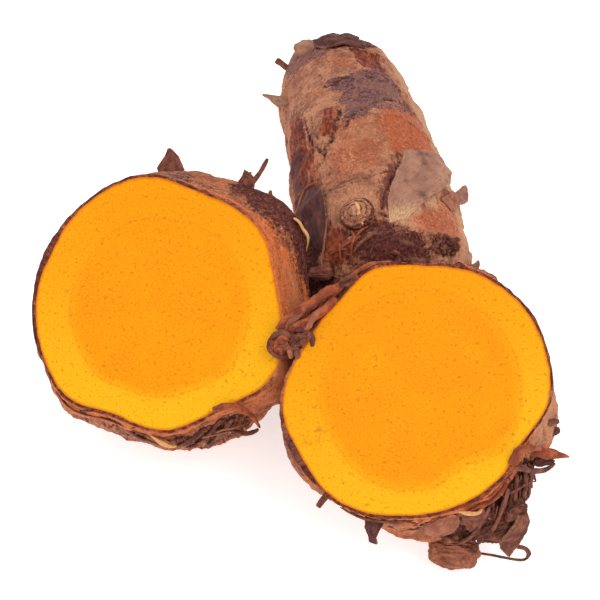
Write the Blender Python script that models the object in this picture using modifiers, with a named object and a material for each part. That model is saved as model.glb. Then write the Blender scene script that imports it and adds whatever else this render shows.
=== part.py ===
"""A branched turmeric rhizome lying on a surface, with two of its three branches cut across.

It grew as one piece, so it is one solid: two thick cut stubs and an uncut finger on a short mother body, with
root stubs, dried scale leaves, a knot and mats of dried roots fused to them. Metres, +Z up, and the cut faces
look up towards -Y. The places below are in millimetres in a working frame whose table is z = 0. At the end
PLAN_CENTRE, the middle of the plan, is moved to the origin.
"""

import math
import random

import bmesh
import bpy
import numpy as np
from mathutils import Matrix, Vector, noise

MM = 0.001

# Driving dimensions, in millimetres
PLAN_CENTRE = (-0.36, 19.49, 0.0)
RING_STEP = 1.5
NODE_RIDGE = 0.4
NODE_WIDTH = 0.8
UNDULATION = 0.3
UNDULATION_SIZE = 7.0
ROUNDING_LENGTH = 12.0
CUTTER_SIZE = 200.0
SCALE_THICKNESS = 0.7
SCALE_SINK = 0.5
ROOT_DEPTH = 1.0
ROOT_SIDES = 6
STRAND_STEPS = 3
LUMP_ROUGHNESS = 0.2

# The way the cut faces look. Roots that follow no particular place grow on the side away from it.
FRONT = (0.0, -0.64, 0.77)
BACK_LIMIT = -0.5
BACK_ROOTS = 16
BACK_ROOT_LENGTHS = (1.0, 2.6)
SEED = 11

# Skin and cut flesh
SKIN_COLOUR = (0.25, 0.11, 0.045, 1.0)
FLESH_COLOUR = (0.95, 0.36, 0.015, 1.0)
SKIN_ROUGHNESS = 0.75
FLESH_ROUGHNESS = 0.45

# Each station is x, y, z and radius. An outline is the cut face's radii at even angles from the branch's own
# right-hand side, counter-clockwise to someone who looks at the cut. A swelling is its place along and round the
# branch, in mm and degrees, its height, and how far it spreads each way.
BRANCHES = {
    "left_stub": {
        "stations": (
            (-16.85, 4.54, 19.11, 15.4),
            (-15.35, 7.09, 15.06, 16.6),
            (-13.5, 9.8, 11.4, 15.9),
            (-11.4, 12.4, 8.2, 13.2),
            (-9.4, 14.6, 5.8, 9.2),
            (-8.2, 15.8, 4.8, 5.0),
        ),
        "outline": (16.4, 14.9, 15.4, 14.5, 15.6, 15.4, 15.6, 15.2, 14.9, 13.5, 14.5, 14.4),
        "nodes": (7.0, 13.5),
        "swellings": (
            (6.0, 76.0, 2.0, 4.0, 27.0),
            (3.0, 196.0, 0.5, 4.0, 45.0),
            (1.0, 250.0, 0.9, 3.0, 18.0),
            (3.0, 350.0, 1.2, 3.0, 18.0),
        ),
        "points_round": 44,
        "is_cut": True,
    },
    "right_stub": {
        "stations": (
            (13.4, -8.0, 19.35, 15.1),
            (13.6, -5.55, 15.0, 15.5),
            (13.9, -3.0, 10.7, 15.0),
            (14.3, -0.3, 6.6, 12.8),
            (14.6, 1.8, 3.4, 8.6),
            (14.8, 2.8, 1.8, 4.0),
        ),
        "outline": (
            15.0, 15.4, 15.4, 15.1, 14.5, 15.1, 13.8, 13.7,
            14.8, 15.6, 15.7, 15.6, 14.7, 14.2, 13.8, 13.4,
        ),
        "nodes": (6.5, 13.0),
        "swellings": (
            (5.0, 336.0, 1.0, 3.5, 22.0),
            (6.0, 314.0, 2.7, 3.5, 17.0),
            (6.5, 294.0, 2.0, 3.0, 16.0),
        ),
        "points_round": 44,
        "is_cut": True,
    },
    "mother": {
        "stations": (
            (-13.0, 15.0, 7.5, 4.0),
            (-9.0, 15.6, 7.6, 7.4),
            (-2.0, 16.0, 8.0, 8.8),
            (6.0, 14.5, 9.5, 10.4),
            (13.5, 10.5, 10.2, 10.8),
            (18.5, 7.0, 10.0, 6.5),
        ),
        "outline": (10.0,) * 12,
        "nodes": (9.0, 18.0, 27.0),
        "swellings": (),
        "points_round": 28,
        "is_cut": False,
    },
    "finger": {
        "stations": (
            (12.4, 8.0, 13.5, 6.0),
            (11.3, 12.0, 14.0, 9.6),
            (10.4, 17.0, 14.5, 10.2),
            (9.4, 24.5, 13.9, 10.0),
            (8.3, 33.1, 12.5, 9.6),
            (7.1, 42.1, 10.2, 9.0),
            (5.7, 50.8, 7.8, 8.2),
            (4.8, 55.6, 6.9, 7.0),
            (4.3, 58.5, 6.6, 5.0),
            (4.1, 59.8, 6.4, 2.8),
        ),
        "outline": (10.0,) * 12,
        "nodes": (5.0, 12.5, 24.0, 33.5, 42.0),
        "swellings": (
            (8.7, 114.0, 0.9, 1.3, 9.0),
            (26.5, 122.0, 0.5, 2.4, 8.0),
            (3.5, 115.0, 1.2, 3.0, 40.0),
            (53.0, 146.0, 0.9, 2.2, 24.0),
        ),
        "points_round": 30,
        "is_cut": False,
    },
}

# Root stubs: branch, place along and round it, the way the root points, its length, and its radii at both ends.
ROOTS = (
    ("finger", 47.0, 156.0, (-0.8, 0.5, 0.4), 2.0, 0.5, 0.35),
    ("left_stub", 7.0, 86.0, (0.6, 0.62, 0.52), 4.0, 0.5, 0.3),
    ("left_stub", 6.4, 74.0, (0.2, 0.7, 0.6), 0.7, 0.7, 0.3),
    ("left_stub", 4.0, 330.0, (0.9, -0.3, -0.2), 2.4, 0.8, 0.35),
    ("right_stub", 1.0, 233.0, (-0.55, -0.6, -0.4), 1.3, 0.6, 0.4),
    ("right_stub", 3.4, 338.0, (0.98, -0.1, -0.05), 4.2, 1.1, 0.35),
    ("right_stub", 5.0, 357.0, (0.95, -0.2, -0.1), 0.8, 0.8, 0.5),
)

# Scale leaves: branch, place of the root along and round it, half the width in degrees, how far the leaf reaches
# along the branch and out from it, the width of its tip as a share, and how far round its tip is turned.
SCALES = (
    ("finger", 8.5, 62.0, 26.0, 10.5, 1.2, 0.8, -8.0),
    ("finger", 3.5, 128.0, 14.0, 9.0, 0.8, 0.35, 4.0),
    ("finger", 16.0, 16.0, 6.0, 0.8, 1.7, 0.6, 0.0),
    ("finger", 40.5, 160.0, 8.0, 0.8, 2.4, 0.25, 4.0),
    ("finger", 49.0, 100.0, 34.0, 4.0, 0.8, 0.6, 0.0),
    ("left_stub", 6.8, 121.0, 8.0, 0.0, 2.9, 0.2, 0.0),
    ("left_stub", 6.8, 89.0, 2.5, 0.0, 1.4, 0.8, 0.0),
    ("left_stub", 1.5, 322.0, 11.0, 3.5, 0.6, 0.5, 4.0),
    ("right_stub", 2.0, 254.0, 5.0, 1.0, 2.2, 0.5, 3.0),
    ("right_stub", 1.0, 288.0, 11.0, 5.0, 0.9, 0.5, -3.0),
    ("right_stub", 5.0, 318.0, 9.0, 3.0, 2.6, 0.2, -4.0),
    ("finger", 3.0, 2.0, 9.0, 2.5, 0.8, 0.5, 0.0),
    ("finger", 12.5, 205.0, 26.0, 7.0, 1.0, 0.4, 0.0),
    ("finger", 24.0, 330.0, 24.0, 7.0, 1.0, 0.4, 5.0),
    ("mother", 18.0, 200.0, 24.0, 6.0, 1.0, 0.4, 0.0),
    ("left_stub", 7.0, 190.0, 14.0, 5.0, 0.9, 0.4, 0.0),
    ("right_stub", 6.5, 40.0, 12.0, 5.0, 0.9, 0.4, 0.0),
)

# Strands of dried root: branch, radius, and points along it, each a place along and round the branch and a lift.
STRANDS = (
    ("right_stub", 0.7, ((0.6, 106.0, 0.0), (0.4, 122.0, 0.5), (0.6, 138.0, 0.4), (0.9, 152.0, 0.2))),
    ("right_stub", 0.6, ((2.4, 104.0, -0.2), (2.2, 120.0, 0.5), (1.8, 138.0, 0.5), (1.4, 152.0, 0.0))),
    ("right_stub", 0.7, ((1.4, 346.0, 0.0), (1.8, 334.0, 0.6), (3.6, 326.0, 0.3), (6.6, 320.0, 0.0))),
    ("right_stub", 0.6, ((2.6, 346.0, 0.0), (4.0, 338.0, 0.2), (5.6, 330.0, 0.1), (8.0, 322.0, -0.3))),
    ("right_stub", 0.6, ((1.6, 322.0, 0.2), (3.6, 313.0, 0.7), (6.2, 306.0, 0.6), (8.2, 296.0, 0.2))),
    ("right_stub", 0.6, ((2.0, 308.0, 0.0), (3.8, 302.0, 0.6), (5.8, 298.0, 0.6), (7.6, 290.0, 0.0))),
    ("right_stub", 0.6, ((2.6, 270.0, 0.0), (4.0, 278.0, 0.6), (5.2, 286.0, 0.6), (6.4, 296.0, 0.0))),
    ("left_stub", 0.6, ((1.2, 300.0, -0.1), (3.0, 308.0, 0.3), (4.6, 316.0, 0.1), (5.6, 326.0, 0.0))),
    ("left_stub", 0.6, ((3.4, 296.0, 0.0), (5.0, 302.0, 0.0), (6.4, 310.0, -0.1), (7.2, 320.0, -0.3))),
    ("left_stub", 0.6, ((1.0, 272.0, 0.0), (2.4, 280.0, 0.3), (3.4, 290.0, 0.1), (4.2, 302.0, -0.2))),
)

# Lumps of dried root: centre, three radii across, back and up, and the turn about the vertical in degrees.
LUMPS = (
    ((-1.6, -1.9, 20.4), (2.0, 1.8, 1.8), 20.0),
    ((0.7, -1.5, 20.9), (1.7, 1.6, 1.4), 0.0),
    ((18.2, -19.2, 2.2), (2.9, 2.0, 2.1), -8.0),
    ((15.6, -17.6, 2.6), (1.6, 1.5, 1.6), 0.0),
    ((-0.6, -0.2, 13.4), (3.0, 2.6, 4.4), 0.0),
)

# The thin root that leaves the lump at the front and ends in a hook, as x, y and z, and its radius
HOOKED_ROOT = (
    (19.4, -18.6, 2.2),
    (22.6, -18.8, 1.6),
    (26.1, -19.1, 1.0),
    (26.95, -18.8, 1.7),
    (26.5, -18.4, 2.4),
    (25.5, -18.3, 2.7),
)
HOOKED_ROOT_RADIUS = 0.4


def catmull_rom(a, b, c, d, t):
    """The smooth curve's value a share t of the way from b to c."""
    return 0.5 * (2 * b + (c - a) * t + (2 * a - 5 * b + 4 * c - d) * t * t + (3 * b - a - 3 * c + d) * t**3)


def smooth_rows(rows, steps):
    """Rows of numbers along a smooth curve through the given rows."""
    rows = np.array(rows, float)
    rows = np.vstack([2 * rows[0] - rows[1], rows, 2 * rows[-1] - rows[-2]])
    shares = np.arange(steps) / steps
    curve = [catmull_rom(*rows[i : i + 4], t) for i in range(len(rows) - 3) for t in shares]
    return np.array([*curve, rows[-2]])


def unit(v):
    return v / np.linalg.norm(v)


class Branch:
    """A branch's surface as a function of the distance along its axis and the angle round it."""

    SAMPLES_PER_STATION = 24

    def __init__(self, stations, outline, nodes, swellings, points_round, is_cut):
        self.curve = smooth_rows(stations, self.SAMPLES_PER_STATION)
        steps = np.linalg.norm(np.diff(self.curve[:, :3], axis=0), axis=1)
        self.distance = np.concatenate([[0.0], np.cumsum(steps)])
        self.length = self.distance[-1]
        self.outline = np.array(outline, float)
        self.nodes = nodes
        self.swellings = swellings
        self.points_round = points_round
        self.is_cut = is_cut

    def along_curve(self, along):
        """Centre and radius at a distance along the axis."""
        row = [np.interp(along, self.distance, self.curve[:, k]) for k in range(4)]
        return np.array(row[:3]), row[3]

    def frame(self, along):
        """Centre, right-hand side, up and onward directions, and radius."""
        centre, radius = self.along_curve(along)
        ahead, _ = self.along_curve(min(along + 0.5, self.length))
        behind, _ = self.along_curve(max(along - 0.5, 0.0))
        onward = unit(ahead - behind)
        up = unit(np.array([0.0, 0.0, 1.0]) - onward[2] * onward)
        return centre, np.cross(onward, up), up, onward, radius

    def outward(self, along, angle):
        """The way out of the branch at an angle in radians."""
        _, side, up, _, _ = self.frame(along)
        return math.cos(angle) * side + math.sin(angle) * up

    def outline_share(self, angle, along):
        """The section's radius as a share of its mean, which becomes round deeper in."""
        count = len(self.outline)
        position = (angle / math.tau * count) % count
        i = int(position)
        near = self.outline[np.arange(i - 1, i + 3) % count]
        share = catmull_rom(*near, position - i) / self.outline.mean()
        return 1 + (share - 1) * max(0.0, 1 - along / ROUNDING_LENGTH)

    def relief(self, point, along, angle):
        """Node ridges, swellings and the slow lumps of the skin."""
        height = UNDULATION * noise.noise(Vector(point) / UNDULATION_SIZE)
        for node in self.nodes:
            height += NODE_RIDGE * math.exp(-(((along - node) / NODE_WIDTH) ** 2))
        for middle, direction, rise, spread_along, spread_angle in self.swellings:
            turn = (math.degrees(angle) - direction + 180) % 360 - 180
            height += rise * math.exp(-(((along - middle) / spread_along) ** 2) - (turn / spread_angle) ** 2)
        return height

    def point(self, along, angle, lift=0.0):
        """The surface point, or one that stands lift above it."""
        centre, _, _, _, radius = self.frame(along)
        outward = self.outward(along, angle)
        bare = radius * self.outline_share(angle, along)
        return centre + outward * (bare + self.relief(centre + outward * bare, along, angle) + lift)

    def build(self, name):
        """The branch as a closed mesh: rings along the axis, a flat cut or a round end, and a round end."""
        mesh = bmesh.new()
        stops = np.linspace(0, self.length, round(self.length / RING_STEP) + 1)
        angles = np.arange(self.points_round) * math.tau / self.points_round
        rings = [[mesh.verts.new(self.point(s, a)) for a in angles] for s in stops]
        for ring, following in zip(rings, rings[1:]):
            for k in range(self.points_round):
                nxt = (k + 1) % self.points_round
                mesh.faces.new((ring[k], following[k], following[nxt], ring[nxt]))
        self.close_end(mesh, rings[-1], self.length, 1)
        if self.is_cut:
            mesh.faces.new(rings[0])
        else:
            self.close_end(mesh, rings[0], 0.0, -1)
        bmesh.ops.recalc_face_normals(mesh, faces=mesh.faces)
        return mesh_object(name, mesh)

    def close_end(self, mesh, ring, along, direction):
        """A blunt tip of one point beyond the end ring."""
        centre, _, _, onward, radius = self.frame(along)
        pole = mesh.verts.new(centre + direction * 0.4 * radius * onward)
        for k, corner in enumerate(ring):
            mesh.faces.new((corner, ring[(k + 1) % len(ring)], pole))


def mesh_object(name, mesh):
    """A bmesh in millimetres becomes an object in metres."""
    mesh.transform(Matrix.Scale(MM, 4))
    data = bpy.data.meshes.new(name)
    mesh.to_mesh(data)
    mesh.free()
    obj = bpy.data.objects.new(name, data)
    bpy.context.scene.collection.objects.link(obj)
    return obj


def clear_scene():
    for obj in list(bpy.data.objects):
        bpy.data.objects.remove(obj)


def evaluated_mesh(obj):
    """A new mesh of the object with its modifiers or bevel applied."""
    bpy.context.view_layer.update()
    graph = bpy.context.evaluated_depsgraph_get()
    return bpy.data.meshes.new_from_object(obj.evaluated_get(graph))


def fuse(base, others, operation="UNION"):
    """Joins others to base, or cuts them from it, and removes them."""
    group = bpy.data.collections.new("operands")
    for other in others:
        group.objects.link(other)
    boolean = base.modifiers.new("fuse", "BOOLEAN")
    boolean.operation = operation
    boolean.operand_type = "COLLECTION"
    boolean.collection = group
    boolean.solver = "MANIFOLD"
    data = evaluated_mesh(base)
    base.modifiers.clear()
    base.data = data
    for other in others:
        bpy.data.objects.remove(other)
    bpy.data.collections.remove(group)


def root_stub(start, direction, length, root_radius, tip_radius):
    """A straight broken root whose base is sunk below the skin."""
    direction = Vector(direction).normalized()
    depth = length + ROOT_DEPTH
    mesh = bmesh.new()
    bmesh.ops.create_cone(
        mesh, cap_ends=True, segments=ROOT_SIDES, radius1=root_radius, radius2=tip_radius, depth=depth
    )
    middle = Vector(start) + direction * (depth / 2 - ROOT_DEPTH)
    mesh.transform(Matrix.Translation(middle) @ direction.to_track_quat("Z", "Y").to_matrix().to_4x4())
    return mesh_object("root", mesh)


def scale_leaf(branch, along, angle, half_width, reach, rise, tip_share, turn):
    """A thin blade from a root under the skin, which reaches along the branch or stands out from it."""
    mesh = bmesh.new()
    bmesh.ops.create_grid(mesh, x_segments=4, y_segments=4, size=1.0)
    for vertex in mesh.verts:
        across = vertex.co.x
        share = (vertex.co.y + 1) / 2
        width = half_width * (1 + (tip_share - 1) * share**1.6)
        round_angle = math.radians(angle + turn * share + across * width)
        lift = (rise + SCALE_SINK) * share - SCALE_SINK
        vertex.co = branch.point(along + reach * share, round_angle, lift)
    bmesh.ops.triangulate(mesh, faces=mesh.faces)
    leaf = mesh_object("scale", mesh)
    solidify = leaf.modifiers.new("thickness", "SOLIDIFY")
    solidify.thickness = SCALE_THICKNESS * MM
    solidify.offset = 0.0
    data = evaluated_mesh(leaf)
    leaf.modifiers.clear()
    leaf.data = data
    return leaf


def strand(points, radius):
    """A bent root as a tube of few sides, in millimetres along the given points."""
    curve = bpy.data.curves.new("strand", "CURVE")
    curve.dimensions = "3D"
    curve.bevel_depth = radius * MM
    curve.bevel_resolution = 1
    curve.use_fill_caps = True
    spline = curve.splines.new("POLY")
    spline.points.add(len(points) - 1)
    for target, place in zip(spline.points, points):
        target.co = (*(np.array(place) * MM), 1.0)
    guide = bpy.data.objects.new("strand", curve)
    bpy.context.scene.collection.objects.link(guide)
    data = evaluated_mesh(guide)
    bpy.data.objects.remove(guide)
    mesh = bmesh.new()
    mesh.from_mesh(data)
    bmesh.ops.remove_doubles(mesh, verts=mesh.verts, dist=0.00001)
    mesh.transform(Matrix.Scale(1 / MM, 4))
    return mesh_object("strand", mesh)


def lump(centre, radii, turn):
    """A rough ball of dried root."""
    mesh = bmesh.new()
    bmesh.ops.create_icosphere(mesh, subdivisions=2, radius=1.0)
    for vertex in mesh.verts:
        roughness = 1 + LUMP_ROUGHNESS * noise.noise(vertex.co * 1.7 + Vector(centre))
        vertex.co = vertex.co * roughness
    shape = Matrix.Rotation(math.radians(turn), 4, "Z") @ Matrix.Diagonal((*radii, 1.0))
    mesh.transform(Matrix.Translation(centre) @ shape)
    return mesh_object("lump", mesh)


def back_roots(branches):
    """Root stubs spread at random over the sides that face away from FRONT."""
    draw = random.Random(SEED)
    roots = []
    while len(roots) < BACK_ROOTS:
        branch = branches[draw.choice(("left_stub", "right_stub", "finger", "finger", "mother"))]
        along = draw.uniform(0.15, 0.85) * branch.length
        angle = draw.uniform(0.0, math.tau)
        place = branch.point(along, angle)
        outward = branch.outward(along, angle)
        length = draw.uniform(*BACK_ROOT_LENGTHS)
        end = place + outward * length
        if outward @ FRONT < BACK_LIMIT and place[2] > 3.0 and end[2] > 1.5:
            roots.append(root_stub(place, outward, length, 0.55, 0.35))
    return roots


def small_growths(branches):
    """Every root stub, scale leaf, strand and lump, as closed meshes that reach into the branches."""
    growths = []
    for name, along, angle, direction, length, root_radius, tip_radius in ROOTS:
        start = branches[name].point(along, math.radians(angle))
        growths.append(root_stub(start, direction, length, root_radius, tip_radius))
    for name, *shape in SCALES:
        growths.append(scale_leaf(branches[name], *shape))
    for name, radius, places in STRANDS:
        rows = smooth_rows(places, STRAND_STEPS)
        points = [branches[name].point(along, math.radians(angle), lift) for along, angle, lift in rows]
        growths.append(strand(points, radius))
    growths.append(strand(smooth_rows(HOOKED_ROOT, STRAND_STEPS), HOOKED_ROOT_RADIUS))
    growths.extend(lump(*shape) for shape in LUMPS)
    return growths + back_roots(branches)


def table_cutter():
    """A block whose top is the table."""
    bpy.ops.mesh.primitive_cube_add(size=CUTTER_SIZE * MM, location=(0, 0, -CUTTER_SIZE / 2 * MM))
    return bpy.context.object


def plain_material(name, colour, roughness):
    material = bpy.data.materials.new(name)
    material.use_nodes = True
    material.diffuse_color = colour
    shader = material.node_tree.nodes["Principled BSDF"]
    shader.inputs["Base Color"].default_value = colour
    shader.inputs["Roughness"].default_value = roughness
    return material


def paint(rhizome, branches):
    """Skin everywhere but on the two cuts."""
    rhizome.data.materials.clear()
    rhizome.data.materials.append(plain_material("turmeric_skin", SKIN_COLOUR, SKIN_ROUGHNESS))
    rhizome.data.materials.append(plain_material("turmeric_flesh", FLESH_COLOUR, FLESH_ROUGHNESS))
    cuts = [branch.frame(0.0) for branch in branches.values() if branch.is_cut]
    for face in rhizome.data.polygons:
        facing = [onward @ np.array(face.normal) < -0.99 for _, _, _, onward, _ in cuts]
        level = [abs((np.array(face.center) / MM - centre) @ onward) < 0.05 for centre, _, _, onward, _ in cuts]
        face.material_index = int(any(a and b for a, b in zip(facing, level)))


def main():
    clear_scene()
    branches = {name: Branch(**rows) for name, rows in BRANCHES.items()}
    rhizome, *others = [branch.build(name) for name, branch in branches.items()]
    fuse(rhizome, others)
    fuse(rhizome, small_growths(branches))
    fuse(rhizome, [table_cutter()], "DIFFERENCE")
    rhizome.name = "rhizome"
    paint(rhizome, branches)
    rhizome.data.transform(Matrix.Translation(-Vector(PLAN_CENTRE) * MM))


main()
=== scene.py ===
"""The looks of a branched turmeric rhizome with two cut branches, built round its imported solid.

Places are in millimetres in the working frame of the solid, whose table is z = 0, or on a branch: the
distance along its axis, the angle round it in degrees and the height above its skin. Every piece is a grid
that is rolled or bent into place and closed, or a ball that is roughened.
"""

import math
import random

import bpy
import numpy as np
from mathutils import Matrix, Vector, noise


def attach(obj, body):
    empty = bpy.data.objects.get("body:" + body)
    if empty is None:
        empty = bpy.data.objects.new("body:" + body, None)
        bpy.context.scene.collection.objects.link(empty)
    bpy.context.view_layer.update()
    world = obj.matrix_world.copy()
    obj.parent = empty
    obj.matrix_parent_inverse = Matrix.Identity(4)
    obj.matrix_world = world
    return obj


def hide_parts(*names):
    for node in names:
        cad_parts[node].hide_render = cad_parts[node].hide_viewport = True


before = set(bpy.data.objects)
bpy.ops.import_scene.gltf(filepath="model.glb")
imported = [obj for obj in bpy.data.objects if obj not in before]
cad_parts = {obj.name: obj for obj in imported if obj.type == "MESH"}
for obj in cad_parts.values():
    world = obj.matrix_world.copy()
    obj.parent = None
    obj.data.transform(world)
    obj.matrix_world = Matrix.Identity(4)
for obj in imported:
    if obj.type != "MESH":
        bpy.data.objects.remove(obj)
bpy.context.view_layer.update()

MM = 0.001
PLAN_CENTRE = np.array((-0.36, 19.49, 0.0))
UP = np.array((0.0, 0.0, 1.0))

# The solid's skin: slow lumps, ridges at the nodes, and the depth at which a cut's outline has become round
UNDULATION = 0.3
UNDULATION_SIZE = 7.0
NODE_RIDGE = 0.4
NODE_WIDTH = 0.8
ROUNDING_LENGTH = 12.0

# The flesh stands in a rim of skin this thick, as a share of the branch's radius
RIM_SHARE = 0.982
RIM_DROP = 0.12

# Where the rim is thicker: direction round the cut, spread, and share of the radius
THICK_RIMS = {"left_stub": (178, 13, 0.035), "right_stub": (211, 13, 0.03)}

# Where the rim is thin and bright: direction round the cut and spread
LIT_RIMS = {"left_stub": (30, 42), "right_stub": (178, 22)}

# Where the yellow bark reaches into the core: place on the cut and size, and how far as a share of the core
INLET = {"left_stub": (-12, 12, 2), "right_stub": (5.4, -8.4, 3.6)}
INLET_DEPTH = 0.16

# Camera
CAMERA_AIM = (0.36, -19.49, 26.0)
CAMERA_DISTANCE = 258.75
CAMERA_ELEVATION = 50.0
CAMERA_LENS = 135.0

# Each station is x, y, z and radius; an outline is the radii round the cut; a swelling is its place along and
# round the branch, its height, and how far it spreads each way.
BRANCHES = {
    "left_stub": {
        "stations": ((-16.85, 4.54, 19.11, 15.4), (-15.35, 7.09, 15.06, 16.6), (-13.5, 9.8, 11.4, 15.9),
            (-11.4, 12.4, 8.2, 13.2), (-9.4, 14.6, 5.8, 9.2), (-8.2, 15.8, 4.8, 5)),
        "outline": (16.4, 14.9, 15.4, 14.4, 15.85, 16.1, 15.95, 15.3, 14.9, 13.5, 14.5, 14.4),
        "nodes": (7, 13.5),
        "swellings": ((6, 76, 2, 4, 27), (3, 196, 0.5, 4, 45), (1, 250, 0.9, 3, 18), (3, 350, 1.2, 3, 18)),
    },
    "right_stub": {
        "stations": ((13.4, -8, 19.35, 15.1), (13.6, -5.55, 15, 15.5), (13.9, -3, 10.7, 15),
            (14.3, -0.3, 6.6, 12.8), (14.6, 1.8, 3.4, 8.6), (14.8, 2.8, 1.8, 4)),
        "outline": (15.2, 15.6, 15.8, 15.4, 14.6, 15.1, 13.8, 13.9,
            15.1, 15.7, 15.6, 15.3, 14.4, 13.9, 13.6, 13.4),
        "nodes": (6.5, 13),
        "swellings": ((5, 336, 1, 3.5, 22), (6, 314, 2.7, 3.5, 17), (6.5, 294, 2, 3, 16)),
    },
    "mother": {
        "stations": ((-13, 15, 7.5, 4), (-9, 15.6, 7.6, 7.4), (-2, 16, 8, 8.8), (6, 14.5, 9.5, 10.4),
            (13.5, 10.5, 10.2, 10.8), (18.5, 7, 10, 6.5)),
        "outline": (10,) * 12,
        "nodes": (9, 18, 27),
        "swellings": (),
    },
    "finger": {
        "stations": ((12.4, 8, 13.5, 6), (11.3, 12, 14, 9.6), (10.4, 17, 14.5, 10.2),
            (9.4, 24.5, 13.9, 10), (8.3, 33.1, 12.5, 9.6), (7.1, 42.1, 10.2, 9), (5.7, 50.8, 7.8, 8.2),
            (4.8, 55.6, 6.9, 7), (4.3, 58.5, 6.6, 5), (4.1, 59.8, 6.4, 2.8)),
        "outline": (10,) * 12,
        "nodes": (5, 12.5, 24, 33.5, 42),
        "swellings": (
            (8.7, 114, 0.9, 1.3, 9),
            (26.5, 122, 0.5, 2.4, 8),
            (3.5, 115, 1.2, 3, 40),
            (53, 146, 0.9, 2.2, 24),
        ),
    },
}

# The stains of the skin, with the painted shade and highlight kept among them, each a share from 0 to 1 at
# every point
STAINS_AND_SHADE = ("purple", "orange", "red", "dark_stain_and_shade", "pale")
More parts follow.
